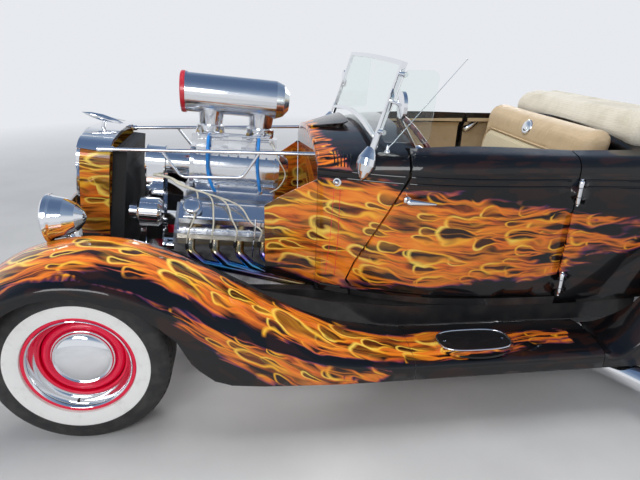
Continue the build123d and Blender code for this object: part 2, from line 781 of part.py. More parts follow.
def shield(grow, half_top=262, half_foot=138, height=646):
    """Front outline of the shell: narrow rounded foot, bowed sides, rounded shoulders, crowned top."""
    top = half_top + grow
    foot = half_foot + grow
    high = height + grow
    shoulder_z = 0.82 * height
    edges = [ThreePointArc((-foot, 0), (0, -22 - grow), (foot, 0))]
    for s in (1, -1):
        edges.append(ThreePointArc((s * foot, 0), (s * (foot + 0.70 * (top - foot)), 0.42 * height),
                                   (s * top, shoulder_z)))
        edges.append(ThreePointArc((s * top, shoulder_z), (s * (top - 20), high - 42),
                                   (s * (top - 95), high - 12)))
    edges.append(ThreePointArc((-top + 95, high - 12), (0, high), (top - 95, high - 12)))
    return make_face(edges)


def grille_shell():
    """Painted shell: a deep band that widens a little to the rear, open in front and behind."""
    rear = shell_plane.offset(shell_depth)
    inner = loft([shell_plane.offset(-1) * shield(-shell_skin - 8), rear.offset(1) * shield(8 - shell_skin)])
    pad = block(-40, 40, -60, 60, front_seat_z, shell_foot[2])
    return shell_outer() + pad - inner


def shell_outer(grow=0, extra=0):
    front = shell_plane.offset(-extra)
    return loft([front * shield(grow), shell_plane.offset(shell_depth) * shield(8 + grow)])


grille_bars = 21
bar_w = 5
bar_deep = 16


def grille():
    """Bright surround with upright bars that step forward to a prow, tied by two cross bars."""
    surround = extrude(shell_plane.offset(-14) * (shield(-1) - shield(-15)), 13)
    prow = 30
    pitch = 2 * (262 - 16) / (grille_bars + 1)
    opening = extrude(shell_plane.offset(-60) * shield(-8), 80)
    bar_set = None
    for index in range(grille_bars):
        y = (index - (grille_bars - 1) / 2) * pitch
        ahead = prow * (1 - abs(y) / 262)
        bar = shell_plane * (Pos(y, 310, -4 - ahead) * Box(bar_w, 760, bar_deep))
        bar_set = bar if bar_set is None else bar_set + bar
    ties = None
    for height in (40, 320, 570):
        for s in (-1, 1):
            corners = [(0, -8 - prow), (s * 256, -8), (s * 256, 2), (0, 2 - prow)]
            tie = make_face(Polyline(*corners, close=True))
            tie_plane = Plane(origin=shell_plane.from_local_coords((0, height, 0)), x_dir=(0, 1, 0),
                              z_dir=shell_plane.y_dir * -1)
            tie = extrude(tie_plane * tie, 9)
            ties = tie if ties is None else ties + tie
    return surround + ((bar_set + ties) & opening) - grille_shell()


def radiator():
    """Radiator core with its side tanks, a fan shroud behind it and a filler neck."""
    place = shell_plane.offset(shell_depth + 4)
    core = extrude(place * (Pos(0, 322) * Rectangle(460, 560)), 58)
    shroud = place.offset(57)
    middle = Pos(0, 310)
    core += loft([shroud * (middle * Rectangle(420, 420)), shroud.offset(22) * (middle * Circle(180))])
    return core


save("grille_shell", grille_shell())
save("grille", grille())
save("radiator", radiator())


# Shell ornament, support rods and headlamps

rod_front = (64, -268, 1068)
rod_rear = (cowl_x - 2, -352, 1062)
support_r = 8


def support_rods():
    """Pair of bright stays from the shell's top to the cowl, each with a bent grab tube below."""
    x0, y0, z0 = rod_front
    x1, y1, z1 = rod_rear
    stay = rod(rod_front, rod_rear, support_r)
    stay += rod((x0 - 30, y0 + 6, z0), (x0 + 34, y0, z0), 13)
    bend = []
    # Columns: station, height below the stay's front end, reach out from the stay
    for x, fall, out in ((300, 6, 0), (372, 112, 8), (632, 112, 8), (704, 10, 0)):
        share = (x - x0) / (x1 - x0)
        bend.append((x, y0 + share * (y1 - y0) - out, z0 - fall))
    stay += pipe(bend, 6, 40)
    return stay - shell_outer(5, 15)


def ornament():
    """Bright crest along the shell's top with a plain winged dart on a pedestal."""
    height = 646
    crest = shell_outer(5, 15) - shell_outer(0.5, 16)
    crest &= shell_plane * (Pos(0, height, 60) * Box(570, 90, 400))
    base = shell_plane.from_local_coords((0, height + 6, 30))
    pedestal = rod((base.X, 0, base.Z - 4), (base.X + 12, 0, base.Z + 34), 9)
    dart = [(-95, 0), (-60, 9), (0, 15), (50, 11), (92, 0)]
    body = turned(dart, (base.X + 4, 0, base.Z + 42), (-1, 0, 0.28))
    crest += pedestal + body
    for s in (-1, 1):
        wing = Plane(origin=(base.X, 0, base.Z + 44), x_dir=(1, 0, -0.28), z_dir=(0.28, 0, 1))
        points = [(-40, s * 4), (30, s * 4), (96, s * 46), (70, s * 50)]
        crest += extrude(wing * make_face(Polyline(*points, close=True)), 4)
    return crest - shell_outer(0.5, 16)


lamp_centre = (-66, -462, 836)
lamp_r = 92


def headlamp():
    """Bullet headlamp on a short stand."""
    x, y, z = lamp_centre
    stand_z = crown_height(FRONT_FENDER, x + 22, y - 14)
    outline = [(-74, 0), (-74, lamp_r - 8), (-66, lamp_r), (-48, lamp_r), (-40, lamp_r - 5),
               (4, lamp_r - 14), (44, lamp_r - 38), (70, lamp_r - 66), (80, 0)]
    shell = turned(outline, lamp_centre, (1, 0, 0))
    stand = rod((x + 6, y - 6, z - lamp_r + 26), (x + 22, y - 14, stand_z - 1), 13)
    stand += rod((x + 22, y - 14, stand_z - 1), (x + 22, y - 14, stand_z + 12), 30)
    return shell + stand


save("support_rods", gather(support_rods(), other_side(support_rods())))
save("ornament", ornament())
save("headlamps", both(headlamp()))


# Front fenders and running boards share one flowing form, cut at a seam

# Lip of the front wheel opening, in (x, z), and its lower corner ahead of the board
front_arch_r = 334
FRONT_LIP = [(234, 620), (327, 542), (383, 483), (428, 389), (459, 352), (512, 304), (575, 280), (700, 266),
             (1010, board_foot_z)]


def front_arch():
    """Prism through the wheel opening and below the flank's lower edge."""
    disc = Pos(0, front_tyre_r) * Circle(front_arch_r)
    below = [(0, front_tyre_r)] + [(0, front_tyre_r + front_arch_r)] + FRONT_LIP
    below += [(2400, board_foot_z), (2400, -200), (-900, -200), (-900, 380), (-340, 380)]
    outline = disc + make_face(Polyline(*below, close=True))
    plane = Plane(origin=(0, 0, 0), x_dir=(1, 0, 0), z_dir=(0, -1, 0))
    return extrude(plane * outline, 1000) + extrude(plane * outline, -10)


front_form = fender_shell(FRONT_FENDER) - front_arch()
board_form = fender_shell(BOARD) - front_arch()
front_fender = front_form & block(-900, seam_x - 1, -1000, 0, 0, 1200)
save("front_fender_left", front_fender)
save("front_fender_right", other_side(front_fender))

# Splash apron from the frame rail up to the fender's bead. Columns: station, half width, top height
APRON = [
    (-60, 318, 690),
    (100, 372, 706),
    (300, 392, 664),
    (500, 421, 572),
    (700, 455, 474),
    (1000, 524, 440),
    (1300, 578, 432),
    (board_rear_x, 592, 428),
    (2430, 596, 440),
]
apron_t = 6


def apron():
    """Upright sheet along the body's foot, its upper edge rolled into a bead."""
    outer = [(x, -y) for x, y, top in APRON]
    inner = [(x, -y + apron_t) for x, y, top in reversed(APRON)]
    wall = plan_prism(outer + inner, 335, 760)
    tops = [(x, top) for x, y, top in APRON]
    keep = side_prism(tops + [(2430, 335), (460, 335), (390, 480), (-60, 520)], 0, -700)
    return wall & keep


plate_centre = (1580, -762)
plate_half = (170, 108)
plate_t = 9


def running_board():
    """Running board with its oval step plate and the plate's two screws."""
    x, y = plate_centre
    place = Pos(x, y, board_top_z + 2)
    plate = extrude(place * Ellipse(*plate_half), plate_t)
    for end in (-1, 1):
        plate += place * Pos(end * 112, 0, plate_t + 1) * Cylinder(9, 5)
    return (board_form & block(seam_x + 1, board_rear_x, -1000, 0, 0, 1200)) + plate


save("running_board_left", running_board())
save("running_board_right", other_side(running_board()))
save("side_aprons", both(apron()))


def rear_arch():
    disc = Pos(wheelbase, rear_tyre_r) * Circle(rear_tyre_r + 42)
    below = [(2120, board_foot_z), (2400, board_foot_z), (2470, 300), (wheelbase - 380, rear_tyre_r),
             (wheelbase + 380, rear_tyre_r), (wheelbase + 400, 330), (3600, 330), (3600, -200), (2000, -200),
             (2000, board_foot_z)]
    plane = Plane(origin=(0, 0, 0), x_dir=(1, 0, 0), z_dir=(0, -1, 0))
    return extrude(plane * (disc + make_face(Polyline(*below, close=True))), 1000)


# Steering axis

wheel_hub = (1435, -287, 1062)
column_angle = radians(35)
steering_r = 182
column_r = 24
shaft_r = 10


def on_column(distance, up=0):
    """Point along the steering axis, measured back from the wheel's hub."""
    return (wheel_hub[0] - distance * cos(column_angle) - up * sin(column_angle), wheel_hub[1],
            wheel_hub[2] - distance * sin(column_angle) + up * cos(column_angle))


# Body: one lofted form, hollowed and cut into cowl, hood sides, floor, doors, rear body and lid

def body_section(row, inset=0, drop=0, shift=0):
    """Closed section: foot, bowed side, roll from belt to top rail, crowned top."""
    x, sill_y, sill_z, belt_y, belt_z, rail_y, rail_top, crown = row
    sill_y -= inset
    belt_y -= inset
    rail_y -= inset
    sill_z -= drop
    belt_z -= 0.4 * inset
    rail_top -= inset
    crown -= inset
    mid_y = 0.5 * (sill_y + belt_y) + 12
    mid_z = 0.5 * (sill_z + belt_z)
    roll_y = belt_y - 0.28 * (belt_y - rail_y)
    roll_z = belt_z + 0.66 * (rail_top - belt_z)
    plane = Plane(origin=(x + shift, 0, 0), x_dir=(0, 1, 0), z_dir=(1, 0, 0))
    edges = [Line((-sill_y, sill_z), (sill_y, sill_z)),
             ThreePointArc((-rail_y, rail_top), (0, crown), (rail_y, rail_top))]
    for s in (-1, 1):
        edges.append(ThreePointArc((s * sill_y, sill_z), (s * mid_y, mid_z), (s * belt_y, belt_z)))
        edges.append(ThreePointArc((s * belt_y, belt_z), (s * roll_y, roll_z), (s * rail_y, rail_top)))
    return plane * make_face(edges)


def body_form(inset=0, drop=0, stretch=0):
    shifts = [-stretch] + [0] * (len(BODY) - 2) + [-inset]
    return loft([body_section(row, inset, drop, shift) for row, shift in zip(BODY, shifts)])


def door_outline(grow=0):
    """Side outline of the door opening: slanted front edge, rounded foot, upright rear edge.
    The front edge has more room, because the door's inner corner swings forward."""
    ahead = grow + swing_room if grow else 0
    return [(door_front_x + 16 - ahead, 1300), (door_front_x - 2 - ahead, 1010),
            (1108 - ahead, 620), (1078 - ahead, door_foot_z + 30 - grow), (1100 - ahead, door_foot_z - grow),
            (door_rear_x - 8 + grow, door_foot_z - 14 - grow), (door_rear_x + grow, 1038),
            (door_rear_x + 10 + grow, 1300)]


swing_room = 4
body_outer = body_form()
body_inner = body_form(body_wall, 80, 4)
body_shell = body_outer - body_inner
rail_cap = 46


def side_half(station, z):
    """Half width of the body at a station and height, straight between the rows of BODY."""
    for low, high in zip(BODY, BODY[1:]):
        if low[0] <= station <= high[0]:
            share = (station - low[0]) / (high[0] - low[0])
            row = [a + share * (b - a) for a, b in zip(low, high)]
    if z < row[4]:
        return row[1] + (row[3] - row[1]) * (z - row[2]) / (row[4] - row[2])
    return row[3] + (row[5] - row[3]) * min(1, (z - row[4]) / (row[6] - row[4]))


def rail_half(station):
    return side_half(station, 2000)


def door_space(grow=0):
    """Space of the left door; ahead of the cockpit opening it ends at the top rail's inner edge."""
    ends = (door_front_x - 120, cockpit_front_x)
    inner = [(x, -rail_half(x) + rail_cap + grow) for x in ends] + [(ends[1], 0), (ends[0], 0)]
    return side_prism(door_outline(grow), -400, -900) - plan_prism(inner, 300, 1400)


def door_sweep():
    """Space that clears the cowl as the door swings: circles about its hinge, one radius a height."""
    front = [point for point in door_outline(panel_gap) if point[0] < door_rear_x - 100]
    front = sorted(front, key=lambda point: point[1])
    foot = front[0][1] - 40
    circles = [(z, hypot(door_axis[0] - x, door_axis[1] + side_half(x, z)) - swing_clearance) for x, z in front]
    outline = [(foot, 0), (foot, circles[0][1])] + circles + [(circles[-1][0], 0)]
    return turned(outline, (*door_axis, 0), (0, 0, 1))


swing_clearance = 2.5
door_axis = (door_rear_x + 3, -671)
cockpit_front_x = 1330
door_hole = door_space(panel_gap)
door_holes = door_hole + other_side(door_hole)
sill_cut = block(1096, door_rear_x + 14, -900, 900, 300, door_foot_z - 20)

def cockpit_hole():
    """Cockpit opening between the top rails, from the dash to the seat."""
    stations = (cockpit_front_x, 1600, door_rear_x, seat_wall_x - 60)
    left = [(x, -rail_half(x) + rail_cap) for x in stations]
    right = [(x, rail_half(x) - rail_cap) for x in reversed(stations)]
    return plan_prism(left + right, 1000, 1400)


def cowl():
    """Cowl with firewall and dash panel, from the hood to the door openings."""
    shell = body_shell & block(cowl_x, door_front_x + 90, -900, 900, 300, 1300)
    firewall = (body_outer & block(cowl_x, cowl_x + sheet, -900, 900, 300, 1300))
    hump = plan_prism([(cowl_x - 5, -tunnel_w - 4), (cowl_x + 40, -tunnel_w - 4), (cowl_x + 40, tunnel_w + 4),
                       (cowl_x - 5, tunnel_w + 4)], 300, tunnel_z + 6)
    panel = body_inner & block(dash_x, dash_x + 16, -900, 900, dash_z, 1300)
    shape = shell + firewall + panel
    bore = rod(on_column(480), on_column(0), column_r + 1)
    shape = shape - door_holes - sill_cut - cockpit_hole() - hump - bore
    return shape + vent_lid() + gauges()


def vent_lid():
    """Fresh air lid on top of the cowl, its rear edge raised, on a narrower neck."""
    raised = body_outer.rotate(Axis((vent_front, 0, 1132), (0, 1, 0)), -vent_tilt)
    raised = Pos(0, 0, vent_gap) * raised
    lowered = Pos(0, 0, -vent_t) * raised

    def plan(inset):
        front, rear = vent_front + inset, vent_front + vent_length - inset
        points = [(front, -62 + inset), (rear, -vent_half_w + inset), (rear, vent_half_w - inset),
                  (front, 62 - inset)]
        return plan_prism(points, 1000, 1300, 26)

    lid = (raised & plan(0)) - lowered
    neck = ((Pos(0, 0, -2) * raised) & plan(16)) - body_inner
    return lid + neck


vent_front = 945
vent_length = 178
vent_half_w = 172
vent_tilt = 5
vent_gap = 9
vent_t = 6


def gauges():
    """Row of round instruments standing out of the dash panel."""
    row = [(0, 44), (110, 30), (-110, 30), (190, 30)]
    pods = [rod((dash_x + 14, y, dash_z + 92), (dash_x + 26, y, dash_z + 92), radius) for y, radius in row]
    piece = pods[0]
    for pod in pods[1:]:
        piece += pod
    return piece


tunnel_w = 138
tunnel_z = 612
floor_z = 456
floor_t = 5
dash_x = 1262
dash_z = 930


tub_r = rear_tyre_r + 40
tub_y = rear_y - rear_tyre_w / 2 - 30
trunk_z = 632


def wheel_tub(side, skin=0):
    """Round space over a rear tyre."""
    inner = (wheelbase, side * (tub_y - skin), rear_tyre_r)
    return rod(inner, (wheelbase, side * 900, rear_tyre_r), tub_r + skin)


def floor():
    """Floor pan with its tunnel, the sills below the doors and the raised floor behind the seat."""
    points = [(-700, floor_z), (-tunnel_w, floor_z), (-tunnel_w + 30, tunnel_z), (tunnel_w - 30, tunnel_z),
              (tunnel_w, floor_z), (700, floor_z)]
    lower = [(y, z - floor_t) for y, z in reversed(points)]
    plane = Plane(origin=(cowl_x + sheet + 1, 0, 0), x_dir=(0, 1, 0), z_dir=(1, 0, 0))
    pan = extrude(plane * make_face(Polyline(*points, *lower, close=True)), seat_wall_x - cowl_x - sheet - 2)
    pan &= body_inner
    sills = body_shell & block(1096 + 1, door_rear_x + 13, -900, 900, 300, door_foot_z - 21)
    sills -= side_prism(door_outline(panel_gap), 900, -900)
    trunk_top = trunk_z - 3
    trunk = block(seat_wall_x + sheet + 1, tail_x - body_wall - 4, -900, 900, trunk_top - floor_t, trunk_top)
    trunk &= body_inner
    for side in (-1, 1):
        trunk -= wheel_tub(side, 10)
    return gather(pan + sills, trunk)


def hood_side():
    """Rear part of the hood's side panel, its top edge cut on a slant."""
    thin = body_form(sheet, 80, 4)
    outline = [(hood_side_x, 470), (hood_side_x, 846), (cowl_x - 2, 972), (cowl_x - 2, 470)]
    return (body_outer - thin) & side_prism(outline, -250, -700)


def hinge_body(z):
    """Fixed half of an outside hinge: pin, end knuckles and the leaf on the quarter."""
    x, y = door_axis
    half = rod((x, y, z - 42), (x, y, z + 42), hinge_pin_r)
    for low in (-42, 22):
        half += rod((x, y, z + low), (x, y, z + low + 20), hinge_r)
        half += block(x, x + 30, y - 4, y + 30, z + low, z + low + 20)
    return half - body_outer


def hinge_door(z):
    """Moving half: the middle knuckle and the leaf on the door."""
    x, y = door_axis
    half = rod((x, y, z - hinge_half), (x, y, z + hinge_half), hinge_r)
    half += block(x - 34, x, y - 4, y + 30, z - hinge_half, z + hinge_half)
    half -= body_outer
    return half - rod((x, y, z - 60), (x, y, z + 60), hinge_pin_r + running_gap)


hinge_r = 9
hinge_pin_r = 5
hinge_half = 20
hinge_heights = (558, 968)


def door_left():
    """Door as thick as its wall, with its hinge leaves and a teardrop handle."""
    leaf = body_shell & door_space() & door_sweep()
    leaf -= cockpit_hole()
    for z in hinge_heights:
        leaf += hinge_door(z)
        for low, high in ((z - 46, z - hinge_half), (z + hinge_half, z + 46)):
            leaf -= rod((*door_axis, low), (*door_axis, high), hinge_r + 3)
    x, y, z = 1286, -618, 928
    leaf += rod((x, y + 30, z), (x, y - 16, z), 8)
    lever = [(-14, 0), (-8, 10), (6, 13), (30, 11), (70, 7), (110, 3), (118, 0)]
    leaf += turned(lever, (x, y - 18, z), (1, 0, -0.1))
    return leaf


def rear_body():
    """Rear quarters, seat wall and deck in one pressing, open under the lid."""
    shell = body_shell & block(door_front_x + 90, 3500, -900, 900, 300, 1300)
    wall = body_inner & block(seat_wall_x, seat_wall_x + sheet, -900, 900, 440, 1300)
    shape = shell + wall - block(900, door_rear_x + 4, -900, 900, 0, 1400)
    shape = shape - door_holes - sill_cut - cockpit_hole() - lid_prism(panel_gap)
    for side in (-1, 1):
        shape -= wheel_tub(side)
        tub = wheel_tub(side, sheet) - wheel_tub(side)
        tub &= body_outer & block(2300, tail_x, -900, 900, trunk_z - 2, 1200)
        shape += tub
    for z in hinge_heights:
        shape += hinge_body(z) + other_side(hinge_body(z))
    return shape


lid_axis = (lid_front_x - 2, 1160)
lid_straight = 110


def lid_prism(grow=0):
    """Space of the deck lid: straight front and sides, its rear edge on an arc about its hinge."""
    front, rear, half = lid_front_x - grow, lid_front_x + lid_swing_r + 60, lid_half_w + grow
    straight = lid_front_x + lid_straight
    plan = plan_prism([(front, -half), (straight, -half), (rear, -half + 60), (rear, half - 60),
                       (straight, half), (front, half)], 600, 1400)
    x, z = lid_axis
    return plan & rod((x, -900, z), (x, 900, z), lid_swing_r + grow)


def decklid():
    return body_shell & lid_prism() & block(2400, tail_x, -900, 900, 650, 1400)


rear_fender = fender_shell(REAR_FENDER) - rear_arch() - body_outer
save("rear_fender_left", rear_fender)
save("rear_fender_right", other_side(rear_fender))
save("cowl", cowl())
save("floor", floor())
save("hood_sides", both(hood_side()))
save("door_left", door_left())
save("door_right", other_side(door_left()))
save("rear_body", rear_body())
save("decklid", decklid())


# Windshield: raked frame on cast stanchions, with its glass, wind wings and mirrors

rake = atan2(post_head[0] - post_foot[0], post_head[2] - post_foot[2])
shield_height = (post_head[2] - post_foot[2]) / cos(rake)
screen_plane = Plane(origin=(post_foot[0], 0, post_foot[2]), x_dir=(0, 1, 0),
                     z_dir=(cos(rake), 0, -sin(rake)))


def screen_outline(inset):
    """Outline of the screen: arched foot that follows the cowl, upright sides, slightly arched top."""
    half = post_foot[1] + 4 - inset
    low = 24 + inset
    high = shield_height - inset
    edges = [ThreePointArc((-half, low), (0, low + 44), (half, low)),
             Line((half, low), (half - 4, high)),
             ThreePointArc((half - 4, high), (0, high + 8), (-half + 4, high)),
             Line((-half + 4, high), (-half, low))]
    return make_face(edges)


frame_bar = 18
stanchion_r = 42
mirror_y = 606


def windshield_frame():
    """Bright frame, the two post feet and the arms that carry mirrors and wind wings."""
    face = screen_outline(0) - screen_outline(frame_bar)
    piece = extrude(screen_plane.offset(-11) * face, 22)
    for side in (-1, 1):
        foot = screen_plane.from_local_coords((side * post_foot[1], 60, 0))
        low = screen_plane.from_local_coords((side * (post_foot[1] + 4), -22, 0))
        piece += rod((low.X, low.Y, low.Z), (foot.X, foot.Y, foot.Z), 15)
        tip = Vector(low.X - 40, side * 534, low.Z - 104)
        way = Vector(low.X, side * 508, low.Z + 24) - tip
        reach = way.length
        profile = [(0, 0), (0.08 * reach, 14), (0.26 * reach, 31), (0.46 * reach, stanchion_r),
                   (0.66 * reach, stanchion_r - 3), (0.85 * reach, 27), (reach, 16), (reach, 0)]
        piece += turned(profile, tuple(tip), tuple(way))
        for height in (70, 300):
            at = screen_plane.from_local_coords((side * (post_foot[1] + 4), height, 0))
            piece += rod((at.X, at.Y - side * 6, at.Z), (at.X + 14, at.Y + side * 24, at.Z), 10)
        at = screen_plane.from_local_coords((side * (post_foot[1] + 2), 195, 0))
        mirror_at = (at.X + 12, side * mirror_y, at.Z - 4)
        piece += rod((at.X, at.Y, at.Z), mirror_at, 6)
        piece += rod(mirror_at, (mirror_at[0] + 14, mirror_at[1], mirror_at[2]), 50)
    return piece - body_outer - wind_wing() - other_side(wind_wing())


def windshield_glass():
    pane = extrude(screen_plane.offset(-glass_t / 2) * screen_outline(frame_bar + 0.2), glass_t)
    return pane - windshield_frame()


def wind_wing():
    """Clear side wing held by two clamps on the post, its corners rounded."""
    start = screen_plane.from_local_coords((-(post_foot[1] + 30), 185, 0))
    way = Vector(1, -0.16, 0)
    plane = Plane(origin=(start.X + 6, start.Y, start.Z), x_dir=way, z_dir=way.cross(Vector(0, 0, 1)))
    outline = Polyline((-46, -146), (150, -146), (168, 128), (40, 128), close=True)
    face = fillet(make_face(outline).vertices(), 26)
    return extrude(plane * face, glass_t)


save("windshield_frame", windshield_frame())
save("glass", gather(windshield_glass(), wind_wing(), other_side(wind_wing())))


# Cockpit: steering column and wheel, bench seat and the folded top under its boot

def steering_column():
    column = rod(on_column(470), on_column(34), column_r)
    column -= rod(on_column(170), on_column(20), shaft_r + 0.05)
    bracket = rod(on_column(180, 20), (dash_x + 30, wheel_hub[1], dash_z + 20), 10)
    return column + bracket


def steering_wheel():
    axis = (cos(column_angle), 0, sin(column_angle))
    ring_plane = Plane(origin=wheel_hub, x_dir=(0, 1, 0), z_dir=Vector(0, 1, 0).cross(Vector(*axis)))
    rim = revolve(ring_plane * (Pos(steering_r, 0) * Circle(12)), axis=Axis(wheel_hub, axis))
    hub = rod(on_column(28), on_column(-14), 34)
    shaft = rod(on_column(150), on_column(20), shaft_r)
    piece = rim + hub + shaft
    across = Vector(0, 1, 0)
    up = Vector(-sin(column_angle), 0, cos(column_angle))
    hub_v = Vector(*wheel_hub)
    for turn in (90, 210, 330):
        way = across * cos(radians(turn)) + up * sin(radians(turn))
        for offset in (-1, 0, 1):
            beside = (across * -sin(radians(turn)) + up * cos(radians(turn))) * (offset * 9)
            start = hub_v + way * 26 + beside
            end = hub_v + way * (steering_r - 2) + beside
            piece += rod(tuple(start), tuple(end), 3)
    return piece


def seat_cushion():
    outline = [(1530, floor_z + 2), (1510, 760), (1530, 800), (2010, 772), (2010, floor_z + 2)]
    cushion = side_prism(outline, 515, -515)
    return cushion - block(1400, 2100, -tunnel_w - 4, tunnel_w + 4, 300, tunnel_z + 3)


def seat_back():
    outline = [(2014, 700), (2090, 1150), (2110, 1186), (2150, 1200), (2190, 1192), (2216, 1160),
               (2250, 700)]
    return side_prism(outline, 515, -515)


def top_boot():
    """Fitted boot over the folded top, behind the seat."""
    outline = [(2262, 1100), (2262, 1215), (2300, 1262), (2420, 1275), (2540, 1258), (2600, 1210),
               (2620, 1100)]
    return side_prism(outline, 560, -560) - body_outer


save("steering_column", steering_column())
save("steering_wheel", steering_wheel())
save("seat_cushion", seat_cushion())
save("seat_back", seat_back())
save("top_boot", top_boot())


# Tail: lamps on the rear fenders, number plate bracket and fuel tank

plate_holes = 178
plate_hole_r = 3.5
tail_lamp_at = (3290, -690, 640)


def tail_lamp():
    """Round lamp whose bucket stands out of the fender's rear."""
    lamp = turned([(-60, 0), (-46, 16), (-14, 32), (20, 36), (30, 34), (36, 0)], tail_lamp_at, (1, 0, 0))
    return (lamp - rear_fender).solids().sort_by(Axis.X)[-1]


def plate_bracket():
    x = tail_x + plate_reach - 3
    plate = block(x, x + 3, -153, 153, 560, 712)
    for y in (-plate_holes / 2, plate_holes / 2):
        plate -= rod((x - 5, y, 690), (x + 10, y, 690), plate_hole_r)
    arms = block(tail_x, x + 1, -60, -40, 600, 640) + block(tail_x, x + 1, 40, 60, 600, 640)
    return plate + arms


def fuel_tank():
    tank = block(3010, 3235, -350, 350, 466, 600)
    return fillet(tank.edges().filter_by(Axis.Y), 30)


save("tail_lamps", both(tail_lamp()))
save("plate_bracket", plate_bracket())
save("fuel_tank", fuel_tank())
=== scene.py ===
# %% [markdown]
# # A flamed hot rod roadster
# The part is an open two-seater with full fenders, running boards and a supercharged V8 that stands
# in the open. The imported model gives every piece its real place. This script gives each surface its
# finish, and builds the pieces that need a finer mesh than the solids have. Its lengths are metres.

# %% Load the frame
import bpy
import bmesh
import json
from math import atan2, cos, hypot, pi, radians, sin
from mathutils import Matrix, Vector
from mathutils.bvhtree import BVHTree


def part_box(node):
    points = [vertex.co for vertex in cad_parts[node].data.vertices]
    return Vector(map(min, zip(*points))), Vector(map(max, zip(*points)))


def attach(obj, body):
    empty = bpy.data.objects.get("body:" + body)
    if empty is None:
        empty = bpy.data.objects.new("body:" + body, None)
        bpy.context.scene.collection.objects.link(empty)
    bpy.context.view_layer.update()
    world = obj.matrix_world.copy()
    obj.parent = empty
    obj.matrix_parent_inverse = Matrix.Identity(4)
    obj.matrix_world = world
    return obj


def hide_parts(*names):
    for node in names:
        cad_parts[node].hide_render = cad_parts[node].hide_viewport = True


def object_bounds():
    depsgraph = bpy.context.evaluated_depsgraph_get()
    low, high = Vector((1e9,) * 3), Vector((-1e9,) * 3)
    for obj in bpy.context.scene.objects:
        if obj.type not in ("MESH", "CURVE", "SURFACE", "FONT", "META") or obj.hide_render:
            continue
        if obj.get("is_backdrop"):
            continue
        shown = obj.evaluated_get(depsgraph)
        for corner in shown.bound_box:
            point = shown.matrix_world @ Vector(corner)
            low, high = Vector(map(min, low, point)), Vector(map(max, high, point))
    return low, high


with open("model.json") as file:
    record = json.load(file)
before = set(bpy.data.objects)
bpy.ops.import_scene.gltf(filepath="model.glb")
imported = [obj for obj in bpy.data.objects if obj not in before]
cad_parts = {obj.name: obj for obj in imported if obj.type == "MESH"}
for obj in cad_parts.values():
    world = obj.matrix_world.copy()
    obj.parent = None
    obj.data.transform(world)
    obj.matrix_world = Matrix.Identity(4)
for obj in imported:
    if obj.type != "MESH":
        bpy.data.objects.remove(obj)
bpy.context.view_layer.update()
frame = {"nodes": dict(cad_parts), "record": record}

# %% [markdown]
# The real car is measured from its axles, so stations along it are counted back from the front axle.
# The axles' places come from the tyres' boxes, and nothing here repeats a place that the frame knows.

# %% Places taken from the frame
SIDES = ((-1, "left"), (1, "right"))
tyre_low, tyre_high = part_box("tyre_front_left")
AXLE_X = (tyre_low.x + tyre_high.x) / 2
FRONT_R = (tyre_high.z - tyre_low.z) / 2
rear_low, rear_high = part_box("tyre_rear_left")
REAR_X = (rear_low.x + rear_high.x) / 2
REAR_R = (rear_high.z - rear_low.z) / 2
WHEELBASE = REAR_X - AXLE_X
print("wheelbase", round(WHEELBASE, 3), "tyre radii", round(FRONT_R, 3), round(REAR_R, 3))

# %% [markdown]
# A photograph is matched by standing the camera where the photographer stood. The camera's place and
# its three angles were solved from known points of the car. Its axes are built by turning the forward
# axis by yaw and pitch, and rolling the other two about it.

# %% Camera at the photograph's angle
CAMERA_AT = Vector((AXLE_X + 0.654, -2.538, 1.535))
YAW, PITCH, ROLL = radians(8.32), radians(21.48), radians(1.52)
FOCAL_PIXELS, IMAGE_WIDTH, SENSOR = 520.3, 640, 36.0

forward = Vector((sin(YAW) * cos(PITCH), cos(YAW) * cos(PITCH), -sin(PITCH)))
level = Vector((cos(YAW), -sin(YAW), 0))
upright = level.cross(forward)
right = cos(ROLL) * level + sin(ROLL) * upright
up = cos(ROLL) * upright - sin(ROLL) * level
camera_data = bpy.data.cameras.new("camera")
camera_data.sensor_width = SENSOR
camera_data.lens = FOCAL_PIXELS / IMAGE_WIDTH * SENSOR
camera = bpy.data.objects.new("camera", camera_data)
bpy.context.collection.objects.link(camera)
turn = Matrix((right, up, -forward)).transposed()
camera.matrix_world = Matrix.Translation(CAMERA_AT) @ turn.to_4x4()
bpy.context.scene.camera = camera
bpy.context.scene.view_settings.view_transform = "Standard"
print("camera lens", round(camera_data.lens, 2), "mm")

# %% [markdown]
# ## Material helpers
# Each finish is a small graph of nodes. A Value is the output of one node, and sums and products of
# values add more nodes, so that a finish reads as a formula. A Surface is a material whose shader is
# fed with numbers, colours and values.

# %% Node helpers


class Value:
    """The output of a node. Arithmetic with values adds Math nodes."""

    def __init__(self, socket):
        self.socket, self.tree = socket, socket.id_data

    def clamped(self):
        """Keep the result of this last step between 0 and 1."""
        self.socket.node.use_clamp = True
        return self

    def __add__(self, other):
        return maths("ADD", self, other)

    def __sub__(self, other):
        return maths("SUBTRACT", self, other)

    def __rsub__(self, other):
        return maths("SUBTRACT", other, self)

    def __mul__(self, other):
        return maths("MULTIPLY", self, other)

    def __truediv__(self, other):
        return maths("DIVIDE", self, other)


def feed(socket, value):
    """Put a number, vector or colour in a socket, or link a value to it."""
    if isinstance(value, Value):
        value.tree.links.new(value.socket, socket)
    else:
        socket.default_value = (*value, 1) if socket.type == "RGBA" else value


def new_node(tree, kind, inputs=None, **settings):
    """Add a node, set its properties and feed its sockets by name or number."""
    node = tree.nodes.new("ShaderNode" + kind)
    for name, setting in settings.items():
        setattr(node, name, setting)
    for socket, value in (inputs or {}).items():
        feed(node.inputs[socket], value)
    return node


def output(node, key=0):
    return Value(node.outputs[key])


def tree_of(*values):
    return next(value.tree for value in values if isinstance(value, Value))


def maths(operation, *values):
    return output(new_node(tree_of(*values), "Math", dict(enumerate(values)), operation=operation))


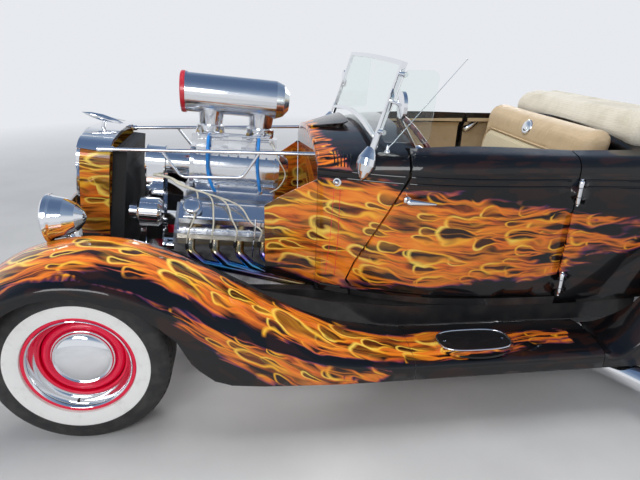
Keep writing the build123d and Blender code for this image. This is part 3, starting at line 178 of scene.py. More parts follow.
def split(vector):
    node = new_node(vector.tree, "SeparateXYZ", {0: vector})
    return [output(node, part) for part in range(3)]


def combined(*parts):
    return output(new_node(tree_of(*parts), "CombineXYZ", dict(enumerate(parts))))


def ramp(value, stops):
    """Colour ramp. stops is a list of (place, colour)."""
    node = new_node(value.tree, "ValToRGB", {0: value})
    band = node.color_ramp
    band.interpolation = "EASE"
    while len(band.elements) < len(stops):
        band.elements.new(0.5)
    for element, (place, colour) in zip(band.elements, stops):
        element.position = place
        element.color = (*colour, 1)
    return output(node)


def blend(share, first, second, mode="MIX"):
    """Mix two colours. A Mix node's colours are its sockets 6 and 7, and its output 2."""
    tree = tree_of(share, first, second)
    inputs = {0: share, 6: first, 7: second}
    return output(new_node(tree, "Mix", inputs, data_type="RGBA", blend_type=mode), 2)


def noise(place, scale, detail=2.0, roughness=0.5):
    inputs = {"Vector": place, "Scale": scale, "Detail": detail, "Roughness": roughness}
    return output(new_node(place.tree, "TexNoise", inputs), "Fac")


def waves(place, scale, way="X", distortion=0.0, detail_scale=1.0):
    """Soft stripes that follow each other along one axis."""
    inputs = {"Vector": place, "Scale": scale, "Distortion": distortion, "Detail Scale": detail_scale}
    return output(new_node(place.tree, "TexWave", inputs, bands_direction=way), "Fac")


def bump(height, strength, distance):
    inputs = {"Height": height, "Strength": strength, "Distance": distance}
    return output(new_node(height.tree, "Bump", inputs))


def spread(value, low, high):
    return output(new_node(value.tree, "MapRange", {"Value": value, "To Min": low, "To Max": high}))


class Surface:
    """A material with a Principled shader, whose sockets are named with _ for a space."""

    def __init__(self, name, colour, rough, metal=0.0, coat=0.0, **sockets):
        self.material = bpy.data.materials.new(name)
        self.material.use_nodes = True
        self.tree = self.material.node_tree
        self.shader = self.tree.nodes["Principled BSDF"]
        self.feed(Base_Color=colour, Roughness=rough, Metallic=metal, Coat_Weight=coat,
                  Coat_Roughness=0.03, **sockets)

    def feed(self, **sockets):
        for name, value in sockets.items():
            feed(self.shader.inputs[name.replace("_", " ")], value)
        return self.material

    def place(self, scale=(1, 1, 1), turned=(0, 0, 0)):
        """Object coordinates, scaled and turned."""
        source = output(new_node(self.tree, "TexCoord"), "Object")
        return output(new_node(self.tree, "Mapping", {"Vector": source, "Rotation": turned, "Scale": scale}))


def grained(name, colour, rough, tone, shades=None, polish=None, skin=None, scale=(1, 1, 1), **more):
    """A finish that one noise pattern varies. tone is that noise's scale, detail and roughness, shades
    its colours and polish its span of roughness. skin is the scale, detail, strength and distance of a
    fine bump."""
    surface = Surface(name, colour, rough, **more)
    pattern = noise(surface.place(scale), *tone)
    if shades:
        surface.feed(Base_Color=ramp(pattern, shades))
    if polish:
        surface.feed(Roughness=spread(pattern, *polish))
    if skin:
        surface.feed(Normal=bump(noise(surface.place(), *skin[:2]), *skin[2:]))
    return surface.material


def plain_gloss(name, colour, rough, coat=0.0, metal=0.0):
    """Smooth moulded finish with a faint change of shade and polish over it."""
    darker = tuple(0.78 * value for value in colour)
    return grained(name, colour, rough, (30, 4), [(0.3, darker), (0.7, colour)], (0.8 * rough, 1.2 * rough),
                   coat=coat, metal=metal)


# %% [markdown]
# ## Bright metals
# Chrome is a perfect mirror with a faint haze where it has been wiped, polished castings keep a soft
# orange-peel skin, and the exhaust headers turn straw, purple and blue where they run hottest. One
# noise pattern drives the roughness of each, since a mirror with no variation looks like a drawing.

# %% Chrome, polished castings and heat-blued steel


def blued_steel(port_z, collector_z):
    """Colours of heated steel from the hot port at the top down to the plain collector."""
    surface = Surface("blued_steel", (0.5, 0.45, 0.4), 0.2, metal=1.0)
    height = split(surface.place())[2] + noise(surface.place(), 14) * 0.05
    share = ((port_z - height) / (port_z - collector_z)).clamped()
    colours = ramp(share, [
        (0.0, (0.58, 0.53, 0.44)), (0.12, (0.52, 0.40, 0.20)), (0.21, (0.16, 0.13, 0.44)),
        (0.34, (0.06, 0.30, 0.52)), (0.47, (0.24, 0.17, 0.32)), (0.62, (0.50, 0.37, 0.17)),
        (1.0, (0.36, 0.34, 0.32))])
    return surface.feed(Base_Color=colours, Roughness=spread(noise(surface.place(), 30, 3), 0.12, 0.3))


CHROME = grained("chrome", (0.83, 0.84, 0.86), 0.06, (9, 4), polish=(0.02, 0.11), metal=1.0)
CASTING = grained("polished_casting", (0.78, 0.79, 0.81), 0.15, (22, 5), polish=(0.06, 0.24),
                  skin=(160, 3, 0.12, 0.0006), metal=1.0)
port_low, port_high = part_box("headers")
BLUED_STEEL = blued_steel(port_high.z, port_low.z)

# %% [markdown]
# ## Black lacquer and painted flames
# The body is black under clear lacquer, which the shader's coat gives. The flames are airbrushed: an
# orange-red glow, loops of yellow line with dark hearts, and long tongues that trail to the rear and
# cool to violet. A picture of them would blur up close, so they are a formula. Each painted mesh
# carries an attribute, flow: how far back along the panel a point is, how far across, and how deep in
# the flames. A stretched cell pattern on flow draws the loops, and stretched noise frays the edges.

# %% Gloss black and flame paint
BLACK = (0.0045, 0.0045, 0.0055)
LACQUER = {"rough": 0.35, "coat": 1.0, "Specular_IOR_Level": 0.1, "Coat_IOR": 1.4}
# Columns: length and width of a loop in metres, seed, half the thickness of its line
LOOPS = [(0.19, 0.060, 3, 0.0055), (0.34, 0.112, 0, 0.0095)]
# A drop's width from its nose to its tail
DROP_TAPER = [(0.0, 1), (0.25, 0.86), (0.6, 0.30), (1.0, 0)]
# Columns: length and width of a lick in metres, seed, how thin the line is
LICK_LINES = [(0.46, 0.060, 21, 16.0), (0.30, 0.036, 25, 13.0)]


def warped_flow(tree):
    """The flow attribute, pushed about by soft noise so that no line stays straight."""
    along, across, depth = split(output(new_node(tree, "Attribute", attribute_name="flow"), "Vector"))
    sway = (noise(combined(along * 4.2, across * 9.0), 1.0) - 0.5) * 0.11
    return along, across + sway, depth


def stretched(along, across, length, width, seed):
    return combined(along / length, across / width, seed)


def teardrops(along, across, length, width, seed):
    """Signed distance to a scatter of teardrops, how near their round noses, how near their thin
    tails, and a number for each drop."""
    place = stretched(along, across, length, width, seed)
    cells = new_node(place.tree, "TexVoronoi", {"Vector": place, "Scale": 1.0, "Randomness": 0.72},
                     voronoi_dimensions="2D")
    from_middle = new_node(place.tree, "VectorMath", {0: place, 1: output(cells, "Position")},
                           operation="SUBTRACT")
    cell_along, cell_across = split(output(from_middle))[:2]
    back = cell_along * length + 0.2 * length
    aside = cell_across * width
    ahead = maths("MINIMUM", back, 0.0) * 0.75
    around = maths("SQRT", ahead * ahead + aside * aside)
    tail = (back / (0.62 * length)).clamped()
    profile = ramp(tail, [(place, (grey, grey, grey)) for place, grey in DROP_TAPER])
    own = new_node(place.tree, "SeparateColor", {0: output(cells, "Color")})
    size = (output(own, 0) * 0.5 + 0.75) * (0.30 * width)
    nose = (1.0 - back / (0.45 * length)).clamped()
    fade = ((1.0 - tail) * 3.0).clamped()
    return around - profile * size, nose, fade, output(own, 1)


def fire_layer(under, drops, edge, reach):
    """Paint one layer of teardrops over what is under it: a dark heart and a bright rim each."""
    gap, nose, fade, own = drops
    inside = (gap * -1.0 / (reach * 1.3)).clamped()
    hearts = blend((inside * (own * 0.35 + 0.68)).clamped(), under, (0.022, 0.008, 0.004))
    near = (1.0 - maths("ABSOLUTE", gap) / reach).clamped()
    rim = (near * fade * (edge * 3.0).clamped()).clamped()
    colour = ramp((edge * 0.34).clamped() + nose * 0.5, [
        (0.0, (0.04, 0.02, 0.22)), (0.16, (0.45, 0.06, 0.03)), (0.4, (0.9, 0.20, 0.015)),
        (0.72, (1.0, 0.50, 0.03)), (1.0, (1.0, 0.74, 0.12))])
    return blend(rim, hearts, colour)


def contour_lines(along, across, length, width, seed, sharpness):
    """Thin lines that wander, part and close up, as the level lines of a stretched noise do."""
    level = noise(stretched(along, across, length, width, seed), 1.0, 1, 0.4)
    return (1.0 - maths("ABSOLUTE", level - 0.5) * sharpness).clamped()


def flame_paint():
    surface = Surface("flame_paint", BLACK, **LACQUER)
    along, across, depth = warped_flow(surface.tree)
    fray = noise(stretched(along, across, 0.34, 0.045, 11), 1.0, 2, 0.55)
    edge = depth + (fray - 0.5) * 3.0
    glow = noise(stretched(along, across, 0.24, 0.034, 7), 1.0, 3, 0.6)
    fire = ramp(glow, [
        (0.35, (0.02, 0.007, 0.004)), (0.43, (0.22, 0.045, 0.008)), (0.50, (0.66, 0.13, 0.015)),
        (0.58, (0.88, 0.20, 0.02)), (0.72, (0.95, 0.29, 0.03))])
    colour = blend(((edge - 0.42) * 1.5).clamped(), BLACK, fire)
    for length, width, seed, line in LOOPS:
        colour = fire_layer(colour, teardrops(along, across, length, width, seed), edge, line)
    solid = ((edge - 0.5) * 1.1).clamped()
    lit = (edge * 3.0).clamped() * (1.0 - solid * 0.82)
    heat = ramp(edge * 0.5, [
        (0.0, (0.05, 0.03, 0.30)), (0.09, (0.42, 0.08, 0.09)), (0.20, (0.85, 0.20, 0.02)),
        (0.5, (0.95, 0.30, 0.02)), (1.0, (1.0, 0.50, 0.05))])
    for row in LICK_LINES:
        colour = blend(contour_lines(along, across, *row) * lit, colour, heat)
    return surface.feed(Base_Color=blend(1.0, colour, BLACK, "LIGHTEN"))


FLAMES = flame_paint()
GLOSS_BLACK = grained("gloss_black", BLACK, tone=(5, 3), polish=(0.24, 0.36), **LACQUER)

# %% [markdown]
# ## Painted panels
# The solids' meshes are right in shape but have long thin triangles, too coarse to carry the flow
# attribute. A merged copy is cut finer by splitting its long edges, and stands for the node. The two
# halves of the work are kept apart: one function refines a mesh, and another says where flames lie.

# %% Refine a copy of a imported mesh
LONGEST_EDGE = 0.06
# Vertices nearer than this are one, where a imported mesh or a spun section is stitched
STITCH = 0.00002


def finished(name, shape, *materials, sharp_angle=40, smooth=True):
    """Make an object of a bmesh, shaded smooth up to an angle, with its materials."""
    mesh = bpy.data.meshes.new(name)
    shape.to_mesh(mesh)
    shape.free()
    piece = bpy.data.objects.new(name, mesh)
    bpy.context.collection.objects.link(piece)
    if smooth:
        mesh.shade_smooth()
        mesh.set_sharp_from_angle(angle=radians(sharp_angle))
    for material in materials:
        mesh.materials.append(material)
    return piece


def refined_copy(name, node):
    """A merged copy of a CAD node, with every edge shorter than LONGEST_EDGE."""
    shape = bmesh.new()
    shape.from_mesh(frame["nodes"][node].data)
    bmesh.ops.remove_doubles(shape, verts=shape.verts, dist=STITCH)
    for _ in range(6):
        long_edges = [edge for edge in shape.edges if edge.calc_length() > LONGEST_EDGE]
        if not long_edges:
            break
        bmesh.ops.subdivide_edges(shape, edges=long_edges, cuts=1)
        bmesh.ops.triangulate(shape, faces=[face for face in shape.faces if len(face.verts) > 3])
    return finished(name, shape, FLAMES, sharp_angle=32)


def place_on(piece, body, slot, *nodes):
    """Say what a piece rides on and which nodes it stands for; slot is not used."""
    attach(piece, body)
    if nodes:
        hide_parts(*nodes)
    return piece


def between(table, place, column):
    """Value of a table's column at a place along its first column, straight between its rows."""
    if place <= table[0][0]:
        return table[0][column]
    for low, high in zip(table, table[1:]):
        if place <= high[0]:
            share = (place - low[0]) / (high[0] - low[0])
            return low[column] + share * (high[column] - low[column])
    return table[-1][column]


# %% [markdown]
# The flames cover a band on each panel. On the body's side the band runs along the car, between a low
# and a high edge that close together towards the tail. On a fender it follows the crest: the distance
# along is measured round the wheel and down the slope, and the distance across from the inner edge
# over the crown and down the flank.

# %% Flame bands
# Depths in the flames: unpainted, and well inside
NO_FLAME, FULL_FLAME = -1.5, 2.0
# Columns: station, lowest height, highest height
SIDE_BAND = [(0.70, 0.57, 1.16), (0.95, 0.50, 1.18), (1.08, 0.50, 1.03), (1.30, 0.52, 0.97),
             (1.60, 0.55, 0.95), (1.90, 0.59, 0.905), (2.15, 0.66, 0.87), (2.45, 0.75, 0.82)]
SIDE_TIP, SIDE_FADE, BELT_Z = 2.42, 0.85, 1.0
# Columns: station, half width at the inner edge, height of the crest, height of the shoulder
FENDER_RUN = [(0.0, 0.385, 0.790, 0.724), (0.2, 0.395, 0.774, 0.688), (0.4, 0.418, 0.700, 0.592),
              (0.6, 0.448, 0.592, 0.487), (0.8, 0.490, 0.488, 0.398), (1.0, 0.532, 0.404, 0.346),
              (1.16, 0.562, 0.362, 0.329), (1.3, 0.586, 0.344, 0.325), (2.13, 0.600, 0.344, 0.325),
              (2.26, 0.604, 0.402, 0.352), (2.42, 0.606, 0.625, 0.545), (2.62, 0.596, 0.838, 0.750),
              (2.845, 0.570, 0.922, 0.830)]
CREST_R, SHOULDER_R, REAR_SHOULDER_R = 0.446, 0.386, 0.46
# Columns: distance along, low edge across, high edge across
CREST_BAND = [(-0.62, 0.10, 0.44), (0.0, 0.14, 0.43), (0.35, 0.165, 0.39), (0.7, 0.165, 0.36),
              (1.05, 0.125, 0.32), (1.4, 0.09, 0.28), (1.7, 0.07, 0.26), (1.95, 0.10, 0.20),
              (2.2, 0.10, 0.20)]
FLANK_BAND = [(0.30, 0.44, 0.45), (0.42, 0.42, 0.50), (0.56, 0.40, 0.545), (0.76, 0.39, 0.55),
              (1.02, 0.355, 0.49), (1.3, 0.295, 0.335)]
# Distances along a fender where the flank's band ends, the crest's grows faint, and the paint is plain
FLANK_END, FAINT_FROM, PLAIN_FROM = 1.3, 1.75, 2.12


def path_lengths():
    """Distance along the crest at each row of FENDER_RUN."""
    lengths = [0.0]
    for low, high in zip(FENDER_RUN, FENDER_RUN[1:]):
        lengths.append(lengths[-1] + hypot(high[0] - low[0], high[2] - low[2]))
    return [(row[0], length) for row, length in zip(FENDER_RUN, lengths)]


CREST_PATH = path_lengths()


def band_depth(table, along, across, unit):
    """How deep a point lies inside a band, in steps of unit, negative outside it."""
    return min(across - between(table, along, 1), between(table, along, 2) - across) / unit


def side_flow(place):
    """Flow on the body's side and cowl, with a gap at the belt."""
    station, half = place.x - AXLE_X, abs(place.y)
    across = place.z + 0.3 * half
    depth = band_depth(SIDE_BAND, station, place.z, 0.06)
    above = (place.z - BELT_Z) / 0.05
    if above > 0:
        across -= min(above, 1.0) * 1.3 * (half - 0.45)
        depth = min(depth, 0.42, above - 0.4)
    else:
        depth = min(depth, -above - 0.2)
    return station, across, max(NO_FLAME, min(depth, (SIDE_TIP - station) / SIDE_FADE, FULL_FLAME))


def shell_flow(place):
    depth = min((place.z - 0.66) / 0.05, (abs(place.y) - 0.12) / 0.06, FULL_FLAME)
    return (place.x - AXLE_X) * 0.8, place.z, depth


def fender_flow(place):
    station, half = place.x - AXLE_X, abs(place.y)
    if station < 0:
        reach = hypot(station, place.z - FRONT_R)
        along = -CREST_R * atan2(-station, place.z - FRONT_R)
        fall, inner = SHOULDER_R - reach, FENDER_RUN[0][1]
    elif station > WHEELBASE:
        reach = hypot(station - WHEELBASE, place.z - REAR_R)
        along = CREST_PATH[-1][1] + CREST_R * atan2(station - WHEELBASE, place.z - REAR_R)
        fall, inner = REAR_SHOULDER_R - reach, FENDER_RUN[-1][1]
    else:
        along = between(CREST_PATH, station, 1)
        fall, inner = between(FENDER_RUN, station, 3) - place.z, between(FENDER_RUN, station, 1)
    across = half - inner + max(0.0, fall)
    depth = band_depth(CREST_BAND, along, across, 0.045)
    if along < FLANK_END:
        depth = max(depth, band_depth(FLANK_BAND, along, across, 0.045))
    if along > FAINT_FROM:
        depth = min(depth, 0.35)
    if along > PLAIN_FROM:
        depth = NO_FLAME
    return along, across, max(NO_FLAME, min(depth, FULL_FLAME))


PAINTED = [("shell", "grille_shell", shell_flow)]
for stem, node in (("fender_front", "front_fender"), ("board", "running_board"),
                   ("fender_rear", "rear_fender")):
    PAINTED += [(f"{stem}_{word}", f"{node}_{word}", fender_flow) for side, word in SIDES]
BLACK_INSIDE = ("door_left", "door_right", "rear_body", "decklid")
PAINTED += [(node, node, side_flow) for node in ("hood_sides", "cowl") + BLACK_INSIDE]


def body_of_node(node):
    return next(body for body, nodes in frame["record"]["behaviour"]["bodies"].items() if node in nodes)


for stem, node, flow in PAINTED:
    panel = refined_copy(stem + "_painted", node)
    layer = panel.data.attributes.new("flow", "FLOAT_VECTOR", "POINT")
    values = []
    for vertex in panel.data.vertices:
        along, across, depth = flow(vertex.co)
        if node in BLACK_INSIDE and vertex.normal.y * vertex.co.y < -0.3 * abs(vertex.co.y):
            depth = NO_FLAME
        values += [along, across, depth]
    layer.data.foreach_set("vector", values)
    place_on(panel, body_of_node(node), "body_paint", node)
    print(panel.name, len(panel.data.polygons), "faces")

# %% [markdown]
# ## Finishes for the rest of the car
# A car is read by its materials: red enamel, rubber, tan hide, canvas, glass and satin black chassis
# paint. Each has its own grain at its real size, such as 1 mm for hide and 4 mm for canvas threads.

# %% Paints, rubber and glass
SATIN_BLACK = grained("satin_black", (0.012, 0.012, 0.013), 0.4, (12, 5),
                      [(0.4, (0.010, 0.010, 0.011)), (0.8, (0.03, 0.028, 0.026))], (0.3, 0.55), coat=0.25)
RED_ENAMEL = grained("red_enamel", (0.87, 0.004, 0.055), 0.3, (8, 3), polish=(0.25, 0.36), coat=0.6,
                     Specular_IOR_Level=0.25)
# Iron castings sprayed silver: a fine sand skin, with darker patches at random
CAST_SILVER = grained("cast_silver", (0.55, 0.56, 0.58), 0.35, (16, 4),
                      [(0.35, (0.30, 0.30, 0.31)), (0.6, (0.58, 0.59, 0.61))], (0.22, 0.45),
                      (420, 3, 0.25, 0.0008), metal=0.85)
TREAD_RUBBER = grained("tread_rubber", (0.018, 0.018, 0.019), 0.6, (26, 5),
                       [(0.35, (0.014, 0.014, 0.015)), (0.75, (0.045, 0.042, 0.038))], (0.45, 0.75),
                       (700, 2, 0.2, 0.0004))
WHITE_RUBBER = grained("white_rubber", (0.90, 0.89, 0.86), 0.5, (14, 6, 0.7),
                       [(0.25, (0.78, 0.76, 0.72)), (0.5, (0.92, 0.91, 0.88))], skin=(500, 2, 0.08, 0.0003))
CLEAR_GLASS = grained("clear_glass", (0.92, 0.97, 0.95), 0.0, (30, 2), polish=(0.0, 0.015),
                      Transmission_Weight=1.0, IOR=1.45)
# Steering wheel rim, with the streaks of a hand-polished moulding
BAKELITE = grained("rim_bakelite", (0.10, 0.012, 0.010), 0.25, (24, 4),
                   [(0.35, (0.055, 0.006, 0.006)), (0.65, (0.16, 0.022, 0.016))], scale=(1, 3, 1), coat=0.8)


def red_lens():
    surface = Surface("red_lens", (0.55, 0.008, 0.01), 0.12, coat=1.0, Transmission_Weight=0.35)
    return surface.feed(Normal=bump(waves(surface.place(), 90), 0.25, 0.0008))


RED_LENS = red_lens()

# %% [markdown]
# Hide is a pattern of small cells with soft creases over it, and a woven insert is two crossed waves,
# each thread rising where it passes over. Canvas is the same weave, larger and duller. All of it is
# bump and colour together, because a crease that only changes colour looks printed. The hide's colour
# is painted shade, darker in the hollows of its creases and lighter on their ridges. The insert's is
# painted shade and highlight, darker between its threads and lighter on their tops.

# %% Hide, weave, canvas and radiator core


def creased_hide():
    surface = Surface("creased_hide", (0.55, 0.42, 0.26), 0.5)
    grain = new_node(surface.tree, "TexVoronoi", {"Vector": surface.place(), "Scale": 420})
    crease = noise(surface.place(), 18, 6, 0.65)
    height = output(grain, "Distance") * 0.35 + crease * 1.2
    # Painted shade: the tan follows the crease noise that also sets the height, darker in the hollows and
    # lighter on the ridges.
    tan_with_crease_shade = ramp(crease, [(0.3, (0.49, 0.365, 0.21)), (0.55, (0.56, 0.42, 0.26)), (0.8, (0.63, 0.49, 0.31))])
    return surface.feed(Base_Color=tan_with_crease_shade, Normal=bump(height, 0.35, 0.0012),
                        Roughness=spread(crease, 0.38, 0.6))


def weave_height(surface, turned, threads):
    """Height of a plain weave with threads per metre, from two crossed bands."""
    place = surface.place(turned=turned)
    warp, weft = (waves(place, threads / 20, way, 0.6, 4) for way in ("X", "Z"))
    return warp * weft


def woven_insert():
    surface = Surface("woven_insert", (0.66, 0.58, 0.40), 0.8, Sheen_Weight=0.3)
    threads = weave_height(surface, (0.3, 0.6, 0.8), 1100)
    # Painted shade and highlight: darker between the threads and lighter where they rise.
    shade = blend(threads, (0.52, 0.44, 0.28), (0.74, 0.67, 0.48))
    cloth = blend(noise(surface.place(), 40, 4) * 0.4, shade, (0.62, 0.54, 0.37))
    return surface.feed(Base_Color=cloth, Normal=bump(threads, 0.5, 0.001))


def boot_canvas():
    surface = Surface("boot_canvas", (0.66, 0.61, 0.50), 0.85, Sheen_Weight=0.25)
    threads = weave_height(surface, (0.2, 0.3, 0.1), 700)
    stain = noise(surface.place(), 7, 5)
    cloth = ramp(stain, [(0.3, (0.58, 0.53, 0.42)), (0.6, (0.70, 0.65, 0.54)), (0.85, (0.74, 0.70, 0.60))])
    return surface.feed(Base_Color=blend(threads * 0.3, cloth, (0.5, 0.46, 0.38)),
                        Normal=bump(threads, 0.4, 0.0009))


def finned_core():
    """Radiator core: vertical tubes with close fins, black. Its colour is painted shade, darker between
    the fins and tubes and lighter where they stand out.
    """
    surface = Surface("finned_core", (0.02, 0.02, 0.02), 0.6)
    fins = waves(surface.place(), 38, "Y") * waves(surface.place(), 140, "Z")
    # Painted shade: the colour ramp on the fin pattern darkens the gaps and lightens the raised fins.
    return surface.feed(Base_Color=ramp(fins, [(0.2, (0.006, 0.006, 0.006)), (0.8, (0.05, 0.05, 0.05))]),
                        Normal=bump(fins, 0.8, 0.002))


HIDE, WOVEN, CANVAS, CORE = creased_hide(), woven_insert(), boot_canvas(), finned_core()

# %% [markdown]
# The pieces whose solids are already right keep them, and take their finish by slot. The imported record
# names a slot for each node, so one table serves them all.

# %% Finishes on the carried-over nodes
SLOT_FINISH = {
    "body_paint": GLOSS_BLACK, "frame_paint": SATIN_BLACK, "wheel_paint": RED_ENAMEL, "chrome": CHROME,
    "polished_alloy": CASTING, "cast_block": CAST_SILVER, "tyre": TREAD_RUBBER, "glass": CLEAR_GLASS,
    "leather": HIDE, "canvas": CANVAS, "wheel_rim": BAKELITE, "lamp_red": RED_LENS, "core_black": CORE,
    "header_steel": BLUED_STEEL,
}
for part in frame["record"]["subparts"]:
    mesh = frame["nodes"][part["node"]].data
    mesh.materials.clear()
    mesh.materials.append(SLOT_FINISH[part["material_slot"]])

# %% [markdown]
# ## Tyres
# A tyre is one section swept round: bead, bulging side wall, shoulder and grooved tread. So it is a
# short row of vertices, spun about the axle. The white band is the same rubber mould with another
# colour, and only takes another material on the faces below the widest point. The shoulder's notches
# are every second face of one ring, inset and pushed in.

# %% Spin helpers


def spin_row(shape, points, centre, axis, steps, merge):
    """Turn a row of points into a closed skin round an axis."""
    row = [shape.verts.new(point) for point in points]
    edges = [shape.edges.new(pair) for pair in zip(row, row[1:])]
    bmesh.ops.spin(shape, geom=row + edges, cent=centre, axis=axis, angle=2 * pi, steps=steps, use_merge=True)
    bmesh.ops.remove_doubles(shape, verts=shape.verts, dist=merge)
    bmesh.ops.recalc_face_normals(shape, faces=shape.faces)


def spun(points, centre, outward, steps=96):
    """Spin a row of (outward distance, radius) points about the axle through centre."""
    shape = bmesh.new()
    points = [(centre.x, centre.y + outward * across, centre.z + radius) for across, radius in points]
    spin_row(shape, points, centre, (0, 1, 0), steps, 0.0002)
    return shape


def take_in(shape, other):
    """Add a second bmesh to the first."""
    spare = bpy.data.meshes.new("spare")
    other.to_mesh(spare)
    other.free()
    shape.from_mesh(spare)
    bpy.data.meshes.remove(spare)


def wheel_places():
    """Name, body, centre and outward direction of each wheel."""
    for end in ("front", "rear"):
        for outward, side in SIDES:
            low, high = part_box(f"tyre_{end}_{side}")
            yield f"{end}_{side}", f"wheel_{end}_{side}_body", (low + high) / 2, outward


def half_sizes(node):
    """Half width and radius of a tyre or a wheel."""
    low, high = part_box(node)
    return (high.y - low.y) / 2, (high.z - low.z) / 2


# %% Four tyres
# Columns: share of the half width, share of the height from bead to tread
SIDE_WALL = [(0.90, 0.13), (0.95, 0.22), (0.982, 0.34), (0.996, 0.44), (1.0, 0.48), (0.992, 0.49),
             (0.99, 0.58), (0.972, 0.68), (0.94, 0.78), (0.90, 0.86), (0.855, 0.915), (0.80, 0.955),
             (0.745, 0.985), (0.70, 1.0)]
# The car's side is flatter near the bead, where the tie rod's ends work inside the front wheels
CAR_WALL = [(0.935, 0.26), (0.978, 0.43)] + SIDE_WALL[4:]
BEAD_GAP, GROOVE_SPACING, GROOVE_HALF, GROOVE_DEPTH = 0.016, 0.038, 0.005, 0.007
TYRE_STEPS, WHITE_SHARE = 144, 0.485


def tyre_piece(name, centre, outward):
    half, radius = half_sizes("tyre_" + name)
    lip, rim = half_sizes("wheel_" + name)
    bead = rim - BEAD_GAP
    height = radius - bead
    wall, car_wall = [[(lip - 0.014, bead), (lip - 0.007, rim + 0.001)]
                      + [(across * half, bead + up * height) for across, up in rows]
                      for rows in (SIDE_WALL, CAR_WALL)]
    tread = []
    for groove in (GROOVE_SPACING, 0, -GROOVE_SPACING):
        tread += [(groove + GROOVE_HALF, radius), (groove + GROOVE_HALF - 0.001, radius - GROOVE_DEPTH),
                  (groove - GROOVE_HALF + 0.001, radius - GROOVE_DEPTH), (groove - GROOVE_HALF, radius)]
    car_side = [(-across, reach) for across, reach in reversed(car_wall)]
    shape = spun(wall + tread + car_side, centre, outward, TYRE_STEPS)
    notched = []
    for face in shape.faces:
        middle = face.calc_center_median() - centre
        across, reach = middle.y * outward, hypot(middle.x, middle.z)
        if across > 0 and rim < reach < bead + WHITE_SHARE * height:
            face.material_index = 1
        elif reach > radius - 0.009 and 0.72 * half < abs(across) < 0.83 * half:
            if round(atan2(middle.z, middle.x) * TYRE_STEPS / (2 * pi) - 0.5) % 2:
                notched.append(face)
    bmesh.ops.inset_individual(shape, faces=notched, thickness=0.0022, depth=-0.004)
    return finished("tyre_rubber_" + name, shape, TREAD_RUBBER, WHITE_RUBBER, sharp_angle=34)


for name, body, centre, outward in wheel_places():
    rubber = place_on(tyre_piece(name, centre, outward), body, "tyre", "tyre_" + name)
    print(rubber.name, len(rubber.data.polygons), "faces")

# %% [markdown]
# ## Wheels
# Each wheel is a red steel rim with a dished centre. A polished trim ring is pressed into the rim and
# hides all but its rolled lip, and a domed cap snaps over the hub. All four are spun sections, since
# every one was spun or rolled from sheet. The cap's dome is half an ellipse.

# %% Rims, trim rings, caps and valve stems
CAP_R, CAP_HEIGHT, FACE_DEPTH = 0.120, 0.036, 0.062
# Columns: distance out from the lip's edge or from the wheel's face, radius over the base before it
RIM_OUT = [(-0.006, -0.001), (-0.003, 0.001), (0, -0.001), (0.001, -0.004), (-0.001, -0.008)]
TRIM_RING = [(-0.003, -0.0135), (0.001, -0.013), (0.0025, -0.015), (0, -0.018), (-0.010, -0.0235),
             (-0.028, -0.028), (-0.044, -0.034), (-0.053, -0.0415), (-0.056, -0.0415)]
CAP_EDGE = [(-0.006, -0.003), (-0.002, 0), (0.003, 0.001), (0.007, -0.001), (0.008, -0.004)]


def moved(points, out, radius):
    return [(out + across, radius + up) for across, up in points]


def steel_wheel(name, centre, outward, lip, rim):
    drop, seat = rim - 0.042, rim - 0.0164
    face = lip - FACE_DEPTH
    section = moved(RIM_OUT, lip, rim) + [
        (lip - 0.006, seat - 0.003), (lip - 0.04, seat - 0.005), (lip - 0.056, drop - 0.005),
        (0.07 - lip, drop - 0.005), (0.046 - lip, seat - 0.005), (0.006 - lip, seat - 0.004),
        (-lip, rim - 0.002), (0.003 - lip, rim + 0.001), (0.006 - lip, rim - 0.001)]
    dish = moved([(-0.018, -0.005), (-0.004, -0.010), (0.003, -0.018)], face, drop)
    dish += moved([(0.009, 0.022), (0.010, 0.018), (0.007, 0.013), (-0.004, 0.007), (-0.006, 0.002)],
                  face, CAP_R)
    dish += [(face - 0.006, 0.03), (face - 0.012, 0.03)]
    dish += moved([(-0.012, 0.006), (-0.001, 0.020)], face, CAP_R)
    dish += moved([(-0.005, -0.020), (-0.026, -0.005)], face, drop)
    shape = spun(section, centre, outward)
    take_in(shape, spun(dish, centre, outward))
    return finished("steel_" + name, shape, RED_ENAMEL, sharp_angle=50)


def bright_parts(name, centre, outward, lip, rim):
    """Trim ring and cap in one mesh."""
    face = lip - FACE_DEPTH
    cap = moved(CAP_EDGE, face, CAP_R)
    for step in range(1, 13):
        turn = step / 12 * pi / 2
        cap.append((face + 0.009 + CAP_HEIGHT * sin(turn) ** 0.92, (CAP_R - 0.005) * cos(turn)))
    shape = spun(moved(TRIM_RING, lip, rim), centre, outward)
    take_in(shape, spun(cap, centre, outward))
    return finished("bright_" + name, shape, CHROME, sharp_angle=50)


def valve_stem(name, centre, outward, lip, rim):
    shape = bmesh.new()
    turn = Matrix.Rotation(radians(100), 4, "Y") @ Matrix.Translation((rim - 0.030, 0, 0))
    lay = Matrix.Rotation(radians(90 if outward < 0 else -90), 4, "X")
    for length, radius, start in ((0.034, 0.0035, 0.0), (0.010, 0.0048, 0.028)):
        made = bmesh.ops.create_cone(shape, cap_ends=True, segments=14, radius1=radius, radius2=radius * 0.9,
                                     depth=length)
        shift = Matrix.Translation((0, outward * (lip - 0.05 + start), 0))
        stand = Matrix.Translation(centre) @ turn @ shift @ lay
        bmesh.ops.transform(shape, matrix=stand, verts=made["verts"])
    return finished("valve_stem_" + name, shape, TREAD_RUBBER)


for name, body, centre, outward in wheel_places():
    sizes = half_sizes("wheel_" + name)
    place_on(steel_wheel(name, centre, outward, *sizes), body, "wheel_paint", "wheel_" + name)
    place_on(bright_parts(name, centre, outward, *sizes), body, "chrome")
    place_on(valve_stem(name, centre, outward, *sizes), body, "tyre")
print("four wheels dressed")

